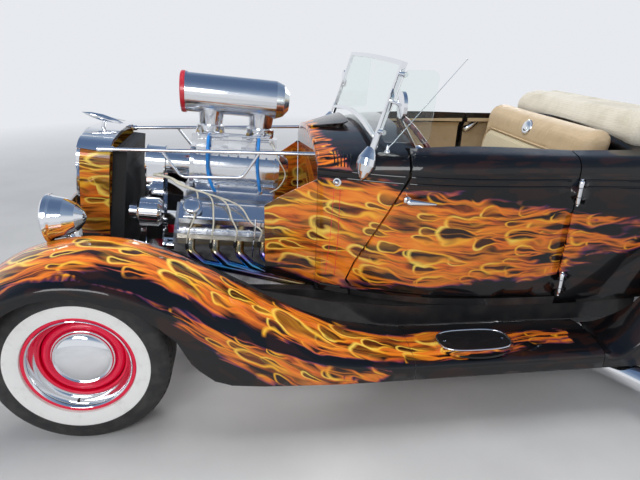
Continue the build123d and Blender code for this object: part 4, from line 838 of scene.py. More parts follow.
# %% [markdown]
# ## Padded seat
# A bench seat is foam pulled tight under hide, so its faces swell and its edges stay round. A block is
# the wrong start for that look. Here a rounded block is cut into even small faces, blown up a little by
# the cloth solver, and capped so that it can't leave its place. The woven insert, its sewn-in seam and
# the piping follow after, because the even mesh would have swallowed them.

# %% Puffing helpers
PRESSURE, PUFF_STEPS = 4.0, 16


def rounded_block(low, high, radius):
    shape = bmesh.new()
    made = bmesh.ops.create_cube(shape, size=1)
    bmesh.ops.scale(shape, vec=high - low, verts=made["verts"])
    bmesh.ops.translate(shape, vec=(low + high) / 2, verts=made["verts"])
    bmesh.ops.bevel(shape, geom=shape.edges[:], offset=radius, segments=5, profile=0.5, affect="EDGES",
                    material=-1)
    return shape


def evaluated_mesh(piece):
    graph = bpy.context.evaluated_depsgraph_get()
    return bpy.data.meshes.new_from_object(piece.evaluated_get(graph))


def applied(piece):
    """Swap a piece's mesh for what its modifiers make of it."""
    mesh = evaluated_mesh(piece)
    piece.modifiers.clear()
    piece.data = mesh
    return piece


def puffed(piece, voxel, cap):
    """Cut a piece evenly and blow it up with the cloth solver, no point further than cap."""
    remesh = piece.modifiers.new("even", "REMESH")
    remesh.mode = "VOXEL"
    remesh.voxel_size = voxel
    piece = applied(piece)
    before = [vertex.co.copy() for vertex in piece.data.vertices]
    cloth = piece.modifiers.new("puff", "CLOTH")
    cloth.settings.quality = 4
    cloth.settings.use_pressure = True
    cloth.settings.uniform_pressure_force = PRESSURE
    cloth.settings.effector_weights.gravity = 0
    for step in range(1, PUFF_STEPS + 1):
        bpy.context.scene.frame_set(step)
    piece = applied(piece)
    for vertex, start in zip(piece.data.vertices, before):
        move = vertex.co - start
        if move.length > cap:
            vertex.co = start + move * (cap / move.length)
    bpy.context.scene.frame_set(1)
    return piece


def frame_gap(across, along, half_width, low, high, corner):
    """Signed distance to a rounded rectangle, negative inside it."""
    reach_a = abs(across) - half_width + corner
    reach_b = abs(along - (low + high) / 2) - (high - low) / 2 + corner
    return hypot(max(reach_a, 0), max(reach_b, 0)) + min(max(reach_a, reach_b), 0) - corner


def frame_path(half_width, low, high, corner, count=9):
    """Points round a rounded rectangle, more of them in its corners."""
    wide, top, bottom = half_width - corner, high - corner, low + corner
    points = []
    for turn, centre in enumerate(((wide, top), (-wide, top), (-wide, bottom), (wide, bottom))):
        for step in range(count):
            angle = radians(90) * (turn + step / (count - 1))
            points.append((centre[0] + corner * cos(angle), centre[1] + corner * sin(angle)))
    return points


def tube(name, points, radius, material, closed=False, sides=8):
    """A round tube along points, as a mesh in place."""
    curve = bpy.data.curves.new(name, "CURVE")
    curve.dimensions = "3D"
    curve.bevel_depth = radius
    curve.bevel_resolution = sides // 2 - 2
    curve.use_fill_caps = True
    spline = curve.splines.new("POLY")
    spline.points.add(len(points) - 1)
    for point, place in zip(spline.points, points):
        point.co = (*place, 1)
    spline.use_cyclic_u = closed
    route = bpy.data.objects.new(name + "_route", curve)
    bpy.context.collection.objects.link(route)
    bpy.context.view_layer.update()
    mesh = evaluated_mesh(route)
    bpy.data.objects.remove(route)
    bpy.data.curves.remove(curve)
    mesh.name = name
    shape = bmesh.new()
    shape.from_mesh(mesh)
    bpy.data.meshes.remove(mesh)
    bmesh.ops.remove_doubles(shape, verts=shape.verts, dist=radius * 0.01)
    bmesh.ops.recalc_face_normals(shape, faces=shape.faces)
    return finished(name, shape, material)


print("padding helpers ready")

# %% [markdown]
# The insert's seam is pressed in with a smooth dip, and the faces inside take the woven cloth. The
# piping that hides the join is a thin tube laid on the seam: each of its points is dropped onto the pad
# with a ray, so it follows the swelling.

# %% Seat cushion and back
SEAM_REACH, SEAM_DEPTH, PIPING_R, PIPING_STEP, INSERT_RISE = 0.016, 0.006, 0.0042, 0.03, 0.06
PAD_VOXEL, PAD_FILL = 0.0125, 0.8
# A surface counts as the pad's front where its normal goes this much with it
FRONT_SHARE = 0.3


def piece_middle(piece):
    axes = [[vertex.co[axis] for vertex in piece.data.vertices] for axis in range(3)]
    return Vector([(min(values) + max(values)) / 2 for values in axes])


def sewn_insert(piece, plane, facing, outline, swell):
    """Press a seam into the pad round its insert, swell the insert and give it the woven cloth."""
    piece.data.materials.append(WOVEN)
    for vertex in piece.data.vertices:
        if vertex.normal.dot(facing) < FRONT_SHARE:
            continue
        gap = frame_gap(vertex.co.y, vertex.co[plane], *outline)
        if abs(gap) < SEAM_REACH:
            vertex.co -= vertex.normal * SEAM_DEPTH * (1 - (gap / SEAM_REACH) ** 2)
        if gap < 0:
            vertex.co += facing * swell * min(1, -gap / INSERT_RISE) ** 0.5
    for face in piece.data.polygons:
        inside = frame_gap(face.center.y, face.center[plane], *outline) < 0
        if inside and face.normal.dot(facing) > FRONT_SHARE:
            face.material_index = 1


def laid_piping(name, piece, plane, facing, outline):
    tree = BVHTree.FromObject(piece, bpy.context.evaluated_depsgraph_get())
    middle = piece_middle(piece)
    path = []
    corners = frame_path(*outline)
    for start, end in zip(corners, corners[1:] + corners[:1]):
        steps = max(1, int(hypot(end[0] - start[0], end[1] - start[1]) / PIPING_STEP))
        for step in range(steps):
            above = middle.copy()
            above.y = start[0] + (end[0] - start[0]) * step / steps
            above[plane] = start[1] + (end[1] - start[1]) * step / steps
            hit = tree.ray_cast(above + facing * 0.5, -facing)[0]
            if hit:
                path.append(hit + facing * PIPING_R * 0.4)
    return tube(name, path, PIPING_R, HIDE, closed=True)


def seat_pad(node, low, high, radius, lean, cap, facing, outline, swell):
    """Puffed pad with its insert and piping. lean moves each height back by that share."""
    plane = 2 if abs(facing.x) > 0.5 else 0
    shape = rounded_block(low, high, radius)
    for vertex in shape.verts:
        vertex.co.x += lean * (vertex.co.z - low.z)
    pad = puffed(finished(node + "_pad", shape, HIDE, sharp_angle=180), PAD_VOXEL, cap)
    sewn_insert(pad, plane, facing, outline, swell)
    place_on(pad, "chassis", "leather", node)
    place_on(laid_piping(node + "_piping", pad, plane, facing, outline), "chassis", "leather")
    print(pad.name, len(pad.data.polygons), "faces")


# An outline is a half width, a low and a high edge, and a corner radius
back_low, back_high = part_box("seat_back")
seat_pad("seat_back", back_low + Vector((0.012, 0.012, 0.004)),
         Vector((back_low.x + 0.142, back_high.y - 0.012, back_high.z - 0.01)), radius=0.055, lean=0.175,
         cap=0.012, facing=Vector((-1, 0, 0.17)).normalized(), outline=(0.43, 0.735, 1.045, 0.07),
         swell=0.006)
seat_low, seat_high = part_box("seat_cushion")
seat_pad("seat_cushion", Vector((seat_low.x + 0.012, seat_low.y + 0.012, 0.60)),
         Vector((seat_high.x - 0.01, seat_high.y - 0.012, seat_high.z - 0.008)), radius=0.06, lean=0,
         cap=0.010, facing=Vector((0, 0, 1)), outline=(0.43, seat_low.x + 0.06, seat_high.x - 0.07, 0.06),
         swell=0.005)

# %% [markdown]
# ## Boot over the folded top
# The top is folded down behind the seat under a fitted canvas boot. It is stuffed by the bows and the
# cloth below, so it is a padded piece too, slacker than the seat. Shallow folds run across it where the
# bows lie, which a row of sine moves gives after the puffing.

# %% Canvas boot
FOLD_HEIGHT, FOLD_SINK, BOOT_DROOP = 0.0028, 0.001, 0.045
boot_low, boot_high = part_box("top_boot")
shape = rounded_block(boot_low + Vector((0.012, 0.015, 0.0)), boot_high - Vector((0.012, 0.015, 0.012)),
                      0.062)
for vertex in shape.verts:
    share = (vertex.co.x - boot_low.x) / (boot_high.x - boot_low.x)
    if vertex.co.z > boot_low.z + 0.08:
        vertex.co.z -= BOOT_DROOP * abs(2 * share - 1) ** 2.5
boot = puffed(finished("top_boot_cover", shape, CANVAS, sharp_angle=180), 0.0135, 0.010)
for vertex in boot.data.vertices:
    x, y = vertex.co.x, vertex.co.y
    fold = sin(x * 62 + 1.6 * sin(y * 5)) + 0.6 * sin(x * 117 + 2 * sin(y * 3 + 1))
    vertex.co += vertex.normal * (FOLD_HEIGHT * fold * max(0, vertex.normal.z) - FOLD_SINK)
place_on(boot, "chassis", "canvas", "top_boot")
print(boot.name, len(boot.data.polygons), "faces")

# %% [markdown]
# ## Door cards and trim panels
# A trim board covers the inside of each door and the quarter beside the seat. It follows the pressing
# that it is clipped to, so it is made from that panel's own inner faces: they are kept, cut to a plain
# outline with bisecting planes, lifted off and given a thickness.

# %% Trim boards
BOARD_GAP, BOARD_T, CARD_TOP = 0.0015, 0.008, 1.085
# A face is kept if it looks this much towards the cabin, and lies this far from the middle
INWARD_SHARE, NEAREST_Y = 0.55, 0.3


def new_verts(made):
    """The vertices among what an extrusion made."""
    return [item for item in made["geom"] if isinstance(item, bmesh.types.BMVert)]


def trim_board(name, node, side, x_range, z_range, body):
    """Padded board over a panel's inner face, between two stations and two heights."""
    shape = bmesh.new()
    shape.from_mesh(frame["nodes"][node].data)
    bmesh.ops.remove_doubles(shape, verts=shape.verts, dist=STITCH)
    shape.faces.ensure_lookup_table()
    off = [face for face in shape.faces
           if face.normal.y * side > -INWARD_SHARE or face.calc_center_median().y * side < NEAREST_Y]
    bmesh.ops.delete(shape, geom=off, context="FACES")
    for axis, limits in ((0, x_range), (2, z_range)):
        for limit, way in zip(limits, (-1, 1)):
            normal, place = Vector(), Vector()
            normal[axis], place[axis] = way, limit
            bmesh.ops.bisect_plane(shape, geom=shape.verts[:] + shape.edges[:] + shape.faces[:],
                                   plane_co=place, plane_no=normal, clear_outer=True)
    for vertex in shape.verts:
        vertex.co.y -= side * BOARD_GAP
    made = bmesh.ops.extrude_face_region(shape, geom=shape.faces[:])
    bmesh.ops.translate(shape, vec=(0, -side * BOARD_T, 0), verts=new_verts(made))
    bmesh.ops.recalc_face_normals(shape, faces=shape.faces)
    board = place_on(finished(name, shape, HIDE, sharp_angle=45), body, "leather")
    print(board.name, len(board.data.polygons), "faces", [round(value, 3) for value in piece_middle(board)])


for side, word in SIDES:
    low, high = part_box("door_" + word)
    trim_board("door_card_" + word, "door_" + word, side, (low.x + 0.19, high.x - 0.03),
               (low.z + 0.04, CARD_TOP), f"door_{word}_body")
    trim_board("quarter_card_" + word, "rear_body", side, (high.x + 0.008, high.x + 0.27),
               (0.70, CARD_TOP), "chassis")

# %% [markdown]
# ## Steering wheel
# The rim is one circle of round section with finger grips on its far side, and three chrome spokes of
# paired rods run to a chrome hub. All of it is made lying flat at the origin, then one matrix tips it
# onto the column, so that the spokes need no angles of their own.

# %% Steering wheel


def standing(place, way):
    """Matrix that stands a part, made along +Z at the origin, at a place and in a direction."""
    return Matrix.Translation(Vector(place)) @ Vector(way).to_track_quat("Z", "Y").to_matrix().to_4x4()


turn_joint = next(joint for joint in frame["record"]["behaviour"]["joints"]
                  if joint["name"] == "steering_wheel_turn")
wheel_low, wheel_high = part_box("steering_wheel")
RIM_PATH_R, RIM_TUBE_R, GRIPS = (wheel_high.y - wheel_low.y) / 2 - 0.0125, 0.0115, 28
TIP = standing(turn_joint["pos_m"], Vector(turn_joint["axis"]).normalized())
# Columns: radius, height over the hub's middle
HUB = [(0.0, 0.010), (0.014, 0.009), (0.024, 0.004), (0.030, -0.004), (0.034, -0.012), (0.034, -0.022),
       (0.022, -0.03), (0.0, -0.03)]


def rim_ring():
    shape = bmesh.new()
    ring = bmesh.ops.create_circle(shape, segments=14, radius=RIM_TUBE_R)["verts"]
    bmesh.ops.rotate(shape, cent=(0, 0, 0), matrix=Matrix.Rotation(radians(90), 3, "X"), verts=ring)
    bmesh.ops.translate(shape, vec=(RIM_PATH_R, 0, 0), verts=ring)
    bmesh.ops.spin(shape, geom=shape.verts[:] + shape.edges[:], cent=(0, 0, 0), axis=(0, 0, 1), angle=2 * pi,
                   steps=168, use_merge=True)
    bmesh.ops.remove_doubles(shape, verts=shape.verts, dist=0.0001)
    for vertex in shape.verts:
        flat = Vector((vertex.co.x, vertex.co.y, 0))
        if vertex.co.z < 0:
            grip = 0.5 + 0.5 * cos(GRIPS * atan2(flat.y, flat.x))
            vertex.co += (flat.normalized() * RIM_PATH_R - vertex.co) * 0.14 * grip
    bmesh.ops.recalc_face_normals(shape, faces=shape.faces)
    bmesh.ops.transform(shape, matrix=TIP, verts=shape.verts)
    return finished("steering_rim", shape, BAKELITE, sharp_angle=60)


def spokes_and_hub():
    shape = bmesh.new()
    for turn in (90, 210, 330):
        for aside in (-0.011, 0, 0.011):
            made = bmesh.ops.create_cone(shape, cap_ends=True, segments=12, radius1=0.0033, radius2=0.0033,
                                         depth=RIM_PATH_R - 0.02)
            lay = (Matrix.Rotation(radians(turn), 4, "Z")
                   @ Matrix.Translation((RIM_PATH_R / 2 + 0.01, aside, -0.012))
                   @ Matrix.Rotation(radians(86), 4, "Y"))
            bmesh.ops.transform(shape, matrix=lay, verts=made["verts"])
    spin_row(shape, [(radius, 0, height) for radius, height in HUB], (0, 0, 0), (0, 0, 1), 48, 0.00005)
    bmesh.ops.transform(shape, matrix=TIP, verts=shape.verts)
    return finished("steering_spokes", shape, CHROME, sharp_angle=40)


place_on(rim_ring(), "steering_wheel_body", "wheel_rim", "steering_wheel")
place_on(spokes_and_hub(), "steering_wheel_body", "chrome")
print("steering wheel of", round(2 * RIM_PATH_R, 3), "m")

# %% [markdown]
# ## Engine dress-up
# The castings come from the solids. What makes an engine bay look real is the clutter that joins them:
# plug wires, hoses, breather pipes, linkage rods, unions and nuts. Each run is a smooth curve through a
# few points with a round bevel, turned into a mesh. It touches a casting at both ends.

# %% Smooth runs and small turned parts
BLUE_HOSE = plain_gloss("blue_hose", (0.02, 0.28, 0.80), 0.35)
CREAM_WIRE = plain_gloss("cream_wire", (0.72, 0.68, 0.55), 0.4)
RED_RING = plain_gloss("red_ring", (0.62, 0.015, 0.03), 0.3, coat=0.5)
BRASS = plain_gloss("brass_union", (0.55, 0.40, 0.16), 0.3, metal=1.0)
RUBBER_BLACK = plain_gloss("rubber_black", (0.012, 0.012, 0.013), 0.5)


def smooth_run(points, steps=7):
    """Points on a smooth curve that passes through the given ones."""
    knots = [Vector(point) for point in points]
    ends = [2 * knots[0] - knots[1]] + knots + [2 * knots[-1] - knots[-2]]
    path = []
    for before, start, end, after in zip(ends, ends[1:], ends[2:], ends[3:]):
        for step in range(steps):
            share = step / steps
            path.append(0.5 * (2 * start + (end - before) * share
                               + (2 * before - 5 * start + 4 * end - after) * share ** 2
                               + (3 * start - before - 3 * end + after) * share ** 3))
    return path + [knots[-1]]


def laid(name, path, radius, material=CHROME, slot="chrome", body="chassis", closed=False, sides=8):
    place_on(tube(name, path, radius, material, closed, sides), body, slot)


def mirrored(points, side):
    return [(x, side * y, z) for x, y, z in points]


def run(name, points, side, *looks, **settings):
    """A smooth tube through points of the right side, on either side."""
    laid(name, smooth_run(mirrored(points, side)), *looks, **settings)


def turned(name, items, material=CHROME, slot="chrome", segments=24, body="chassis", sharp_angle=35):
    """Turned parts in one mesh. Each item has an outline of (along, radius), a place and a direction."""
    shape = bmesh.new()
    for outline, place, way in items:
        part = bmesh.new()
        points = [(radius, 0, along) for along, radius in outline]
        spin_row(part, points, (0, 0, 0), (0, 0, 1), segments, 0.00004)
        bmesh.ops.transform(part, matrix=standing(place, way), verts=part.verts)
        take_in(shape, part)
    place_on(finished(name, shape, material, sharp_angle=sharp_angle), body, slot)


def knob(length, radius, edge=0.0015):
    """Outline of a short cylinder with bevelled ends."""
    return [(0, 0), (0, radius - edge), (edge, radius), (length - edge, radius), (length, radius - edge),
            (length, 0)]


print("five small finishes ready")

# %% Plug wires, hoses and pipes
PORT_X = [-1.0885, -0.9845, -0.8785, -0.7715]
PLUG_BOOT = [(0, 0), (0, 0.0075), (0.012, 0.0085), (0.030, 0.0062), (0.034, 0)]
BREATHER = [(-0.006, 0), (-0.006, 0.030), (0.004, 0.031), (0.010, 0.036), (0.013, 0.0375), (0.030, 0.0375),
            (0.034, 0.036), (0.037, 0.032), (0.0385, 0.024), (0.040, 0.010), (0.040, 0)]
# Points of the right side, which the left side mirrors
BUNCH = [(-1.250, 0.075, 0.905), (-1.165, 0.150, 0.906), (-1.100, 0.232, 0.892)]
HOSES = {"front": [(-0.984, 0.066, 1.098), (-0.986, 0.118, 1.086), (-0.992, 0.140, 1.03),
                   (-0.995, 0.145, 0.97), (-0.992, 0.150, 0.915), (-0.978, 0.158, 0.870),
                   (-0.962, 0.150, 0.836)],
         "rear": [(-0.757, 0.066, 1.084), (-0.759, 0.118, 1.072), (-0.764, 0.138, 1.02),
                  (-0.768, 0.143, 0.96), (-0.766, 0.148, 0.905), (-0.762, 0.156, 0.868),
                  (-0.758, 0.148, 0.832)]}
TOP_CLAMPS = [(-0.984, 0.072, 1.098), (-0.757, 0.072, 1.084)]
LOW_CLAMPS = [(-0.963, 0.151, 0.834), (-0.759, 0.151, 0.830)]
VACUUM_LINE = [(-0.703, 0.066, 1.046), (-0.692, 0.120, 1.046), (-0.672, 0.150, 0.995), (-0.640, 0.160, 0.925),
               (-0.668, 0.172, 0.868), (-0.712, 0.165, 0.838)]
DIPSTICK = [(-0.784, 0.352, 0.772), (-0.787, 0.358, 0.735), (-0.795, 0.356, 0.672), (-0.800, 0.335, 0.620),
            (-0.800, 0.286, 0.560)]
for side, word in SIDES:
    for number, port in enumerate(PORT_X):
        spread_y = 0.006 * (number - 1.5)
        middle = -1.038 + 0.055 * number
        route = [(x, y + spread_y, z + abs(spread_y) * 0.5) for x, y, z in BUNCH]
        route += [(middle, 0.262 + 0.012 * number, 0.872 - 0.014 * number),
                  (0.5 * (middle + port) + 0.016, 0.336, 0.790 - 0.012 * number),
                  (port + 0.012, 0.366, 0.722), (port, 0.356, 0.668)]
        run(f"plug_wire_{word}_{number}", route, side, 0.0036, CREAM_WIRE, "cast_block")
    boots = [(PLUG_BOOT, (port, side * 0.347, 0.640), (0, side * 0.3, 1)) for port in PORT_X]
    turned("plug_boots_" + word, boots, RUBBER_BLACK, "cast_block")
    for end, points in HOSES.items():
        run(f"hose_{end}_{word}", points, side, 0.0078, BLUE_HOSE, "cast_block", sides=10)
    clamps = [(knob(0.014, 0.0115), place, (0, side, 0)) for place in mirrored(TOP_CLAMPS, side)]
    clamps += [(knob(0.014, 0.0110), place, (0.1, side * 0.25, 1)) for place in mirrored(LOW_CLAMPS, side)]
    turned("hose_clamps_" + word, clamps)
    run("vacuum_line_" + word, VACUUM_LINE, side, 0.0028, CREAM_WIRE, "cast_block")
    cap_way = Vector((0, side * 0.707, 0.707))
    cap_seat = Vector((-1.059, side * 0.3190, 0.8315)) - cap_way * 0.030
    turned("breather_" + word, [(BREATHER, cap_seat, cap_way)], segments=48)
    run("dipstick_tube_" + word, DIPSTICK, side, 0.0036)
print("wires and hoses laid")

# %% Scoop ring, carburettor linkage and unions
scoop_low, scoop_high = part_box("air_scoop")
SCOOP_R = 0.088
SCOOP_LIP = [(-0.004, -0.012), (-0.003, 0.001), (0.002, 0.0055), (0.016, 0.006), (0.020, 0.003),
             (0.020, -0.012), (-0.004, -0.012)]
mouth = Vector((scoop_low.x + 0.006, 0, scoop_high.z - 0.092))
turned("scoop_ring", [(moved(SCOOP_LIP, 0, SCOOP_R), mouth, (1, 0, -0.03))], RED_RING, "wheel_paint", 64)

# Front and rear carburettor: station and height of their shafts
CARBURETTORS = ((-0.984, 1.080), (-0.757, 1.066))
FRONT_X, REAR_CARB_X = CARBURETTORS[0][0], CARBURETTORS[1][0]
rods, unions = [], []
for side, word in SIDES:
    out = (0, side, 0)
    shaft = knob(REAR_CARB_X - FRONT_X + 0.10, 0.0028, 0.0008)
    rods.append((shaft, (FRONT_X - 0.05, side * 0.083, 1.078), (1, 0, -0.06)))
    for x, z in CARBURETTORS:
        rods.append((knob(0.050, 0.0035, 0.001), (x - 0.026, side * 0.060, z), out))
        rods.append((knob(0.004, 0.017, 0.001), (x - 0.026, side * 0.078, z), out))
        rods.append((knob(0.004, 0.013, 0.001), (x + 0.040, side * 0.070, z + 0.02), out))
        for shift in (-0.052, 0.052):
            unions.append((knob(0.016, 0.0065, 0.001), (x + shift, side * 0.060, z + 0.028), out))
            unions.append((knob(0.010, 0.0085, 0.001), (x + shift, side * 0.062, z + 0.028), out))
        for shift in (-0.030, 0.030):
            rods.append((knob(0.006, 0.0050, 0.001), (x + shift, side * 0.040, z + 0.052), (0, 0, 1)))
turned("throttle_linkage", rods, segments=16)
turned("fuel_unions", unions, BRASS, "polished_alloy", 6, sharp_angle=20)
RAIL = [(FRONT_X - 0.052, 0.074, 1.108), (FRONT_X - 0.052, 0.098, 1.104), (FRONT_X, 0.104, 1.098),
        (FRONT_X + 0.052, 0.104, 1.096), (REAR_CARB_X - 0.052, 0.104, 1.090), (REAR_CARB_X, 0.104, 1.086),
        (REAR_CARB_X + 0.052, 0.098, 1.088), (REAR_CARB_X + 0.052, 0.074, 1.094)]
for side, word in SIDES:
    run("fuel_rail_" + word, RAIL, side, 0.0040)
print("linkage of", len(rods), "parts and", len(unions), "unions")

# %% [markdown]
# ## Trim laid on the body
# Beads, ribs and pinstripes follow the panels. Their points are given as stations and heights only, and
# a ray from the side drops each one on the painted panel, so they sit on the surface whatever its
# curve. The ray meets the panel's own mesh in this scene, not a formula for it.

# %% Lines laid on panels


def surface_of(name):
    """Ray tree of a piece."""
    return BVHTree.FromObject(bpy.data.objects[name], bpy.context.evaluated_depsgraph_get())


def side_line(panel, side, points, lift, step=0.012):
    """Points on the car's side that follow (X, Z) points, each lifted off the panel."""
    path = []
    for (x0, z0), (x1, z1) in zip(points, points[1:]):
        count = max(1, round(hypot(x1 - x0, z1 - z0) / step))
        for number in range(count + 1):
            share = number / count
            start = Vector((x0 + (x1 - x0) * share, side * 1.2, z0 + (z1 - z0) * share))
            place, normal = panel.ray_cast(start, Vector((0, -side, 0)))[:2]
            if place and (not path or (place - path[-1]).length > step * 0.3):
                path.append(place + normal * lift)
    return path


BEAD_R = 0.0046
door_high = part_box("door_left")[1]
# Height of each bead, and the station of the seam between cowl and door there
SEAM_X = {1.018: -0.180, 0.990: -0.184}
cowl = surface_of("cowl_painted")
for side, word in SIDES:
    door, rear = surface_of(f"door_{word}_painted"), surface_of("rear_body_painted")
    for height, seam in SEAM_X.items():
        door_ends = [(seam + 0.012, height), (door_high.x - 0.045, height - 0.004)]
        for start, panel, body, points in (
                ("cowl", cowl, "chassis", [(-0.520, height), (seam - 0.012, height)]),
                ("door", door, f"door_{word}_body", door_ends),
                ("rear", rear, "chassis", [(door_high.x + 0.016, height - 0.004), (1.20, height - 0.022)])):
            laid(f"bead_{start}_{word}_{round(height * 1000)}", side_line(panel, side, points, 0.0008),
                 BEAD_R, GLOSS_BLACK, "body_paint", body)
    for number in range(6):
        x = -0.458 + 0.0125 * number
        laid(f"cowl_rib_{word}_{number}", side_line(cowl, side, [(x, 1.036), (x + 0.003, 1.084)], 0.0, 0.006),
             0.0030, GLOSS_BLACK, "body_paint")
    laid("foot_bead_" + word, side_line(cowl, side, [(-0.500, 0.486), (-0.415, 0.486)], 0.002),
         0.006, GLOSS_BLACK, "body_paint")
print("beads and ribs laid")

# %% [markdown]
# ## Handles, hinges, latch and aerial
# Small bright parts were turned or cast, then plated. The door handle is a long teardrop that points to
# the rear, so it is spun about its own length. Each is a little larger than the solid that it covers.

# %% Bright body parts
LEVER = [(-0.0150, 0), (-0.0135, 0.0060), (-0.0085, 0.0108), (0.0, 0.0135), (0.008, 0.0138), (0.030, 0.0118),
         (0.070, 0.0078), (0.110, 0.0038), (0.119, 0)]
STEM = [(0, 0.0), (0, 0.0090), (0.020, 0.0090), (0.024, 0.0150), (0.030, 0.0165), (0.034, 0.0165), (0.034, 0)]
HINGE_END = [(0, 0), (0, 0.0104), (0.0252, 0.0104), (0.028, 0.0085), (0.031, 0.0050), (0.034, 0.0058),
             (0.037, 0.0045), (0.0385, 0)]
LATCH = [(-0.004, 0), (-0.004, 0.019), (0.002, 0.0195), (0.006, 0.017), (0.007, 0.012), (0.013, 0.011),
         (0.018, 0.0085), (0.021, 0.004), (0.022, 0)]
HINGE_X, HINGE_Y, HINGE_Z, LATCH_X = 0.5155, 0.671, (0.558, 0.968), -0.447
for side, word in SIDES:
    handle_at = (-0.1825, side * 0.636, 0.928)
    handle = [(LEVER, handle_at, (1, 0, -0.1)), (STEM, handle_at, (0, -side, 0))]
    turned("door_handle_" + word, handle, segments=32, body=f"door_{word}_body")
    middles, ends = [], []
    for z in HINGE_Z:
        middles.append((knob(0.0392, 0.0104), (HINGE_X, side * HINGE_Y, z - 0.0196), (0, 0, 1)))
        ends += [(HINGE_END, (HINGE_X, side * HINGE_Y, z + way * 0.0207), (0, 0, way)) for way in (1, -1)]
    turned("hinge_middles_" + word, middles, body=f"door_{word}_body")
    turned("hinge_ends_" + word, ends)
    place, normal = cowl.ray_cast(Vector((LATCH_X, side * 1.2, 0.972)), Vector((0, -side, 0)))[:2]
    turned("cowl_latch_" + word, [(LATCH, place, normal)], segments=32)
    for number, shift in enumerate((-0.012, 0.012)):
        stripe = [(LATCH_X + shift, 0.945), (-0.452 + 1.3 * shift, 0.72), (-0.462 + 1.6 * shift, 0.54)]
        laid(f"cowl_pinstripe_{word}_{number}", side_line(cowl, side, stripe, 0.0), 0.0011, RED_ENAMEL,
             "body_paint", sides=4)
OVER_FOOT, AERIAL_TOP = Vector((-0.249, -0.496, 1.44)), Vector((0.060, -0.452, 1.456))
foot = cowl.ray_cast(OVER_FOOT, Vector((0, 0, -1)))[0]
whip, base_up = AERIAL_TOP - foot, Vector((0, 0, 0.012))
AERIAL_BASE = [(-0.003, 0), (-0.003, 0.013), (0.003, 0.012), (0.010, 0.0065), (0.022, 0.0055),
               (0.027, 0.0030), (0.030, 0)]
mast = [(0, 0), (0, 0.0020), (0.2, 0.0016), (whip.length - 0.006, 0.0010), (whip.length - 0.004, 0.0026),
        (whip.length, 0.0)]
turned("whip_aerial", [(AERIAL_BASE, foot, (0, 0, 1)), (mast, foot + base_up, whip - base_up)], segments=16)
print("handles, hinges, latches and aerial; aerial", round(whip.length, 3), "m long")

# %% [markdown]
# ## Step plates on the running boards
# A ribbed rubber oval in a bright frame protects the paint where people step in. The oval is a circle
# stretched to a soft rectangle, inset for its border, and each of its points is dropped on the board
# from above so that it takes the board's curve.

# %% Step plates
STEP_X, STEP_Y, STEP_HALF, STEP_LIFT = 0.116, 0.748, (0.155, 0.078), 0.0035
RIB_SPACING, FRAME_POINTS = 0.0125, 72


def soft_oval(turn):
    power = 2 / 3.2
    return (STEP_HALF[0] * abs(cos(turn)) ** power * (1 if cos(turn) > 0 else -1),
            STEP_HALF[1] * abs(sin(turn)) ** power * (1 if sin(turn) > 0 else -1))


def on_board(board, side, x, y, lift):
    """A point of the plate, dropped on the board from above and lifted off it."""
    start = Vector((STEP_X + x, side * STEP_Y + y, 0.6))
    return board.ray_cast(start, Vector((0, 0, -1)))[0] + Vector((0, 0, lift))


for side, word in SIDES:
    board = surface_of(f"board_{word}_painted")
    shape = bmesh.new()
    bmesh.ops.create_grid(shape, x_segments=64, y_segments=28, size=1)
    for vertex in shape.verts:
        reach = max(abs(vertex.co.x), abs(vertex.co.y))
        x, y = (reach * value for value in soft_oval(atan2(vertex.co.y, vertex.co.x)))
        rib = 0.0016 * (0.5 + 0.5 * cos(2 * pi * y / RIB_SPACING)) if reach < 0.93 else 0
        vertex.co = on_board(board, side, x, y, STEP_LIFT + rib)
    skirt = bmesh.ops.extrude_edge_only(shape, edges=[edge for edge in shape.edges if edge.is_boundary])
    bmesh.ops.translate(shape, vec=(0, 0, -0.005), verts=new_verts(skirt))
    bmesh.ops.recalc_face_normals(shape, faces=shape.faces)
    place_on(finished("step_rubber_" + word, shape, RUBBER_BLACK, sharp_angle=50), "chassis", "tyre")
    path = [on_board(board, side, *soft_oval(2 * pi * (number + 0.5) / FRAME_POINTS), 0.0040)
            for number in range(FRAME_POINTS)]
    laid("step_frame_" + word, path, 0.0042, closed=True, sides=10)
    screws = [(knob(0.0045, 0.0062), on_board(board, side, shift, 0, STEP_LIFT), (0, 0, 1))
              for shift in (-0.128, 0.128)]
    turned("step_screws_" + word, screws, segments=16)
print("step plates laid")

# %% [markdown]
# ## Lamps, instruments and small controls
# A headlamp is a fluted glass in a bright bezel over a reflector. The chrome solid behind serves as the
# reflector, so only glass and bezel are new. Tail lamps get their bezels, the dash its dials, and the
# cabin its pedals, lever and the plain oval button on the seat.

# %% Head and tail lamps
lamp_low, lamp_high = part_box("headlamps")
tail_low, tail_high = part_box("tail_lamps")
LAMP_R, FLUTE, FLUTE_SPACING = (lamp_high.z - lamp_low.z) / 2, 0.0009, 0.0085
LAMP_BEZEL = [(0.004, -0.013), (0.007, -0.009), (0.007, -0.004), (0.003, 0.001), (-0.004, 0.002),
              (-0.010, 0.001), (-0.012, -0.003), (-0.006, -0.010), (0.004, -0.013)]
TAIL_BEZEL = [(-0.010, 0.0355), (-0.008, 0.0375), (0.000, 0.0378), (0.005, 0.0360), (0.006, 0.0335),
              (0.002, 0.0320), (-0.010, 0.0355)]


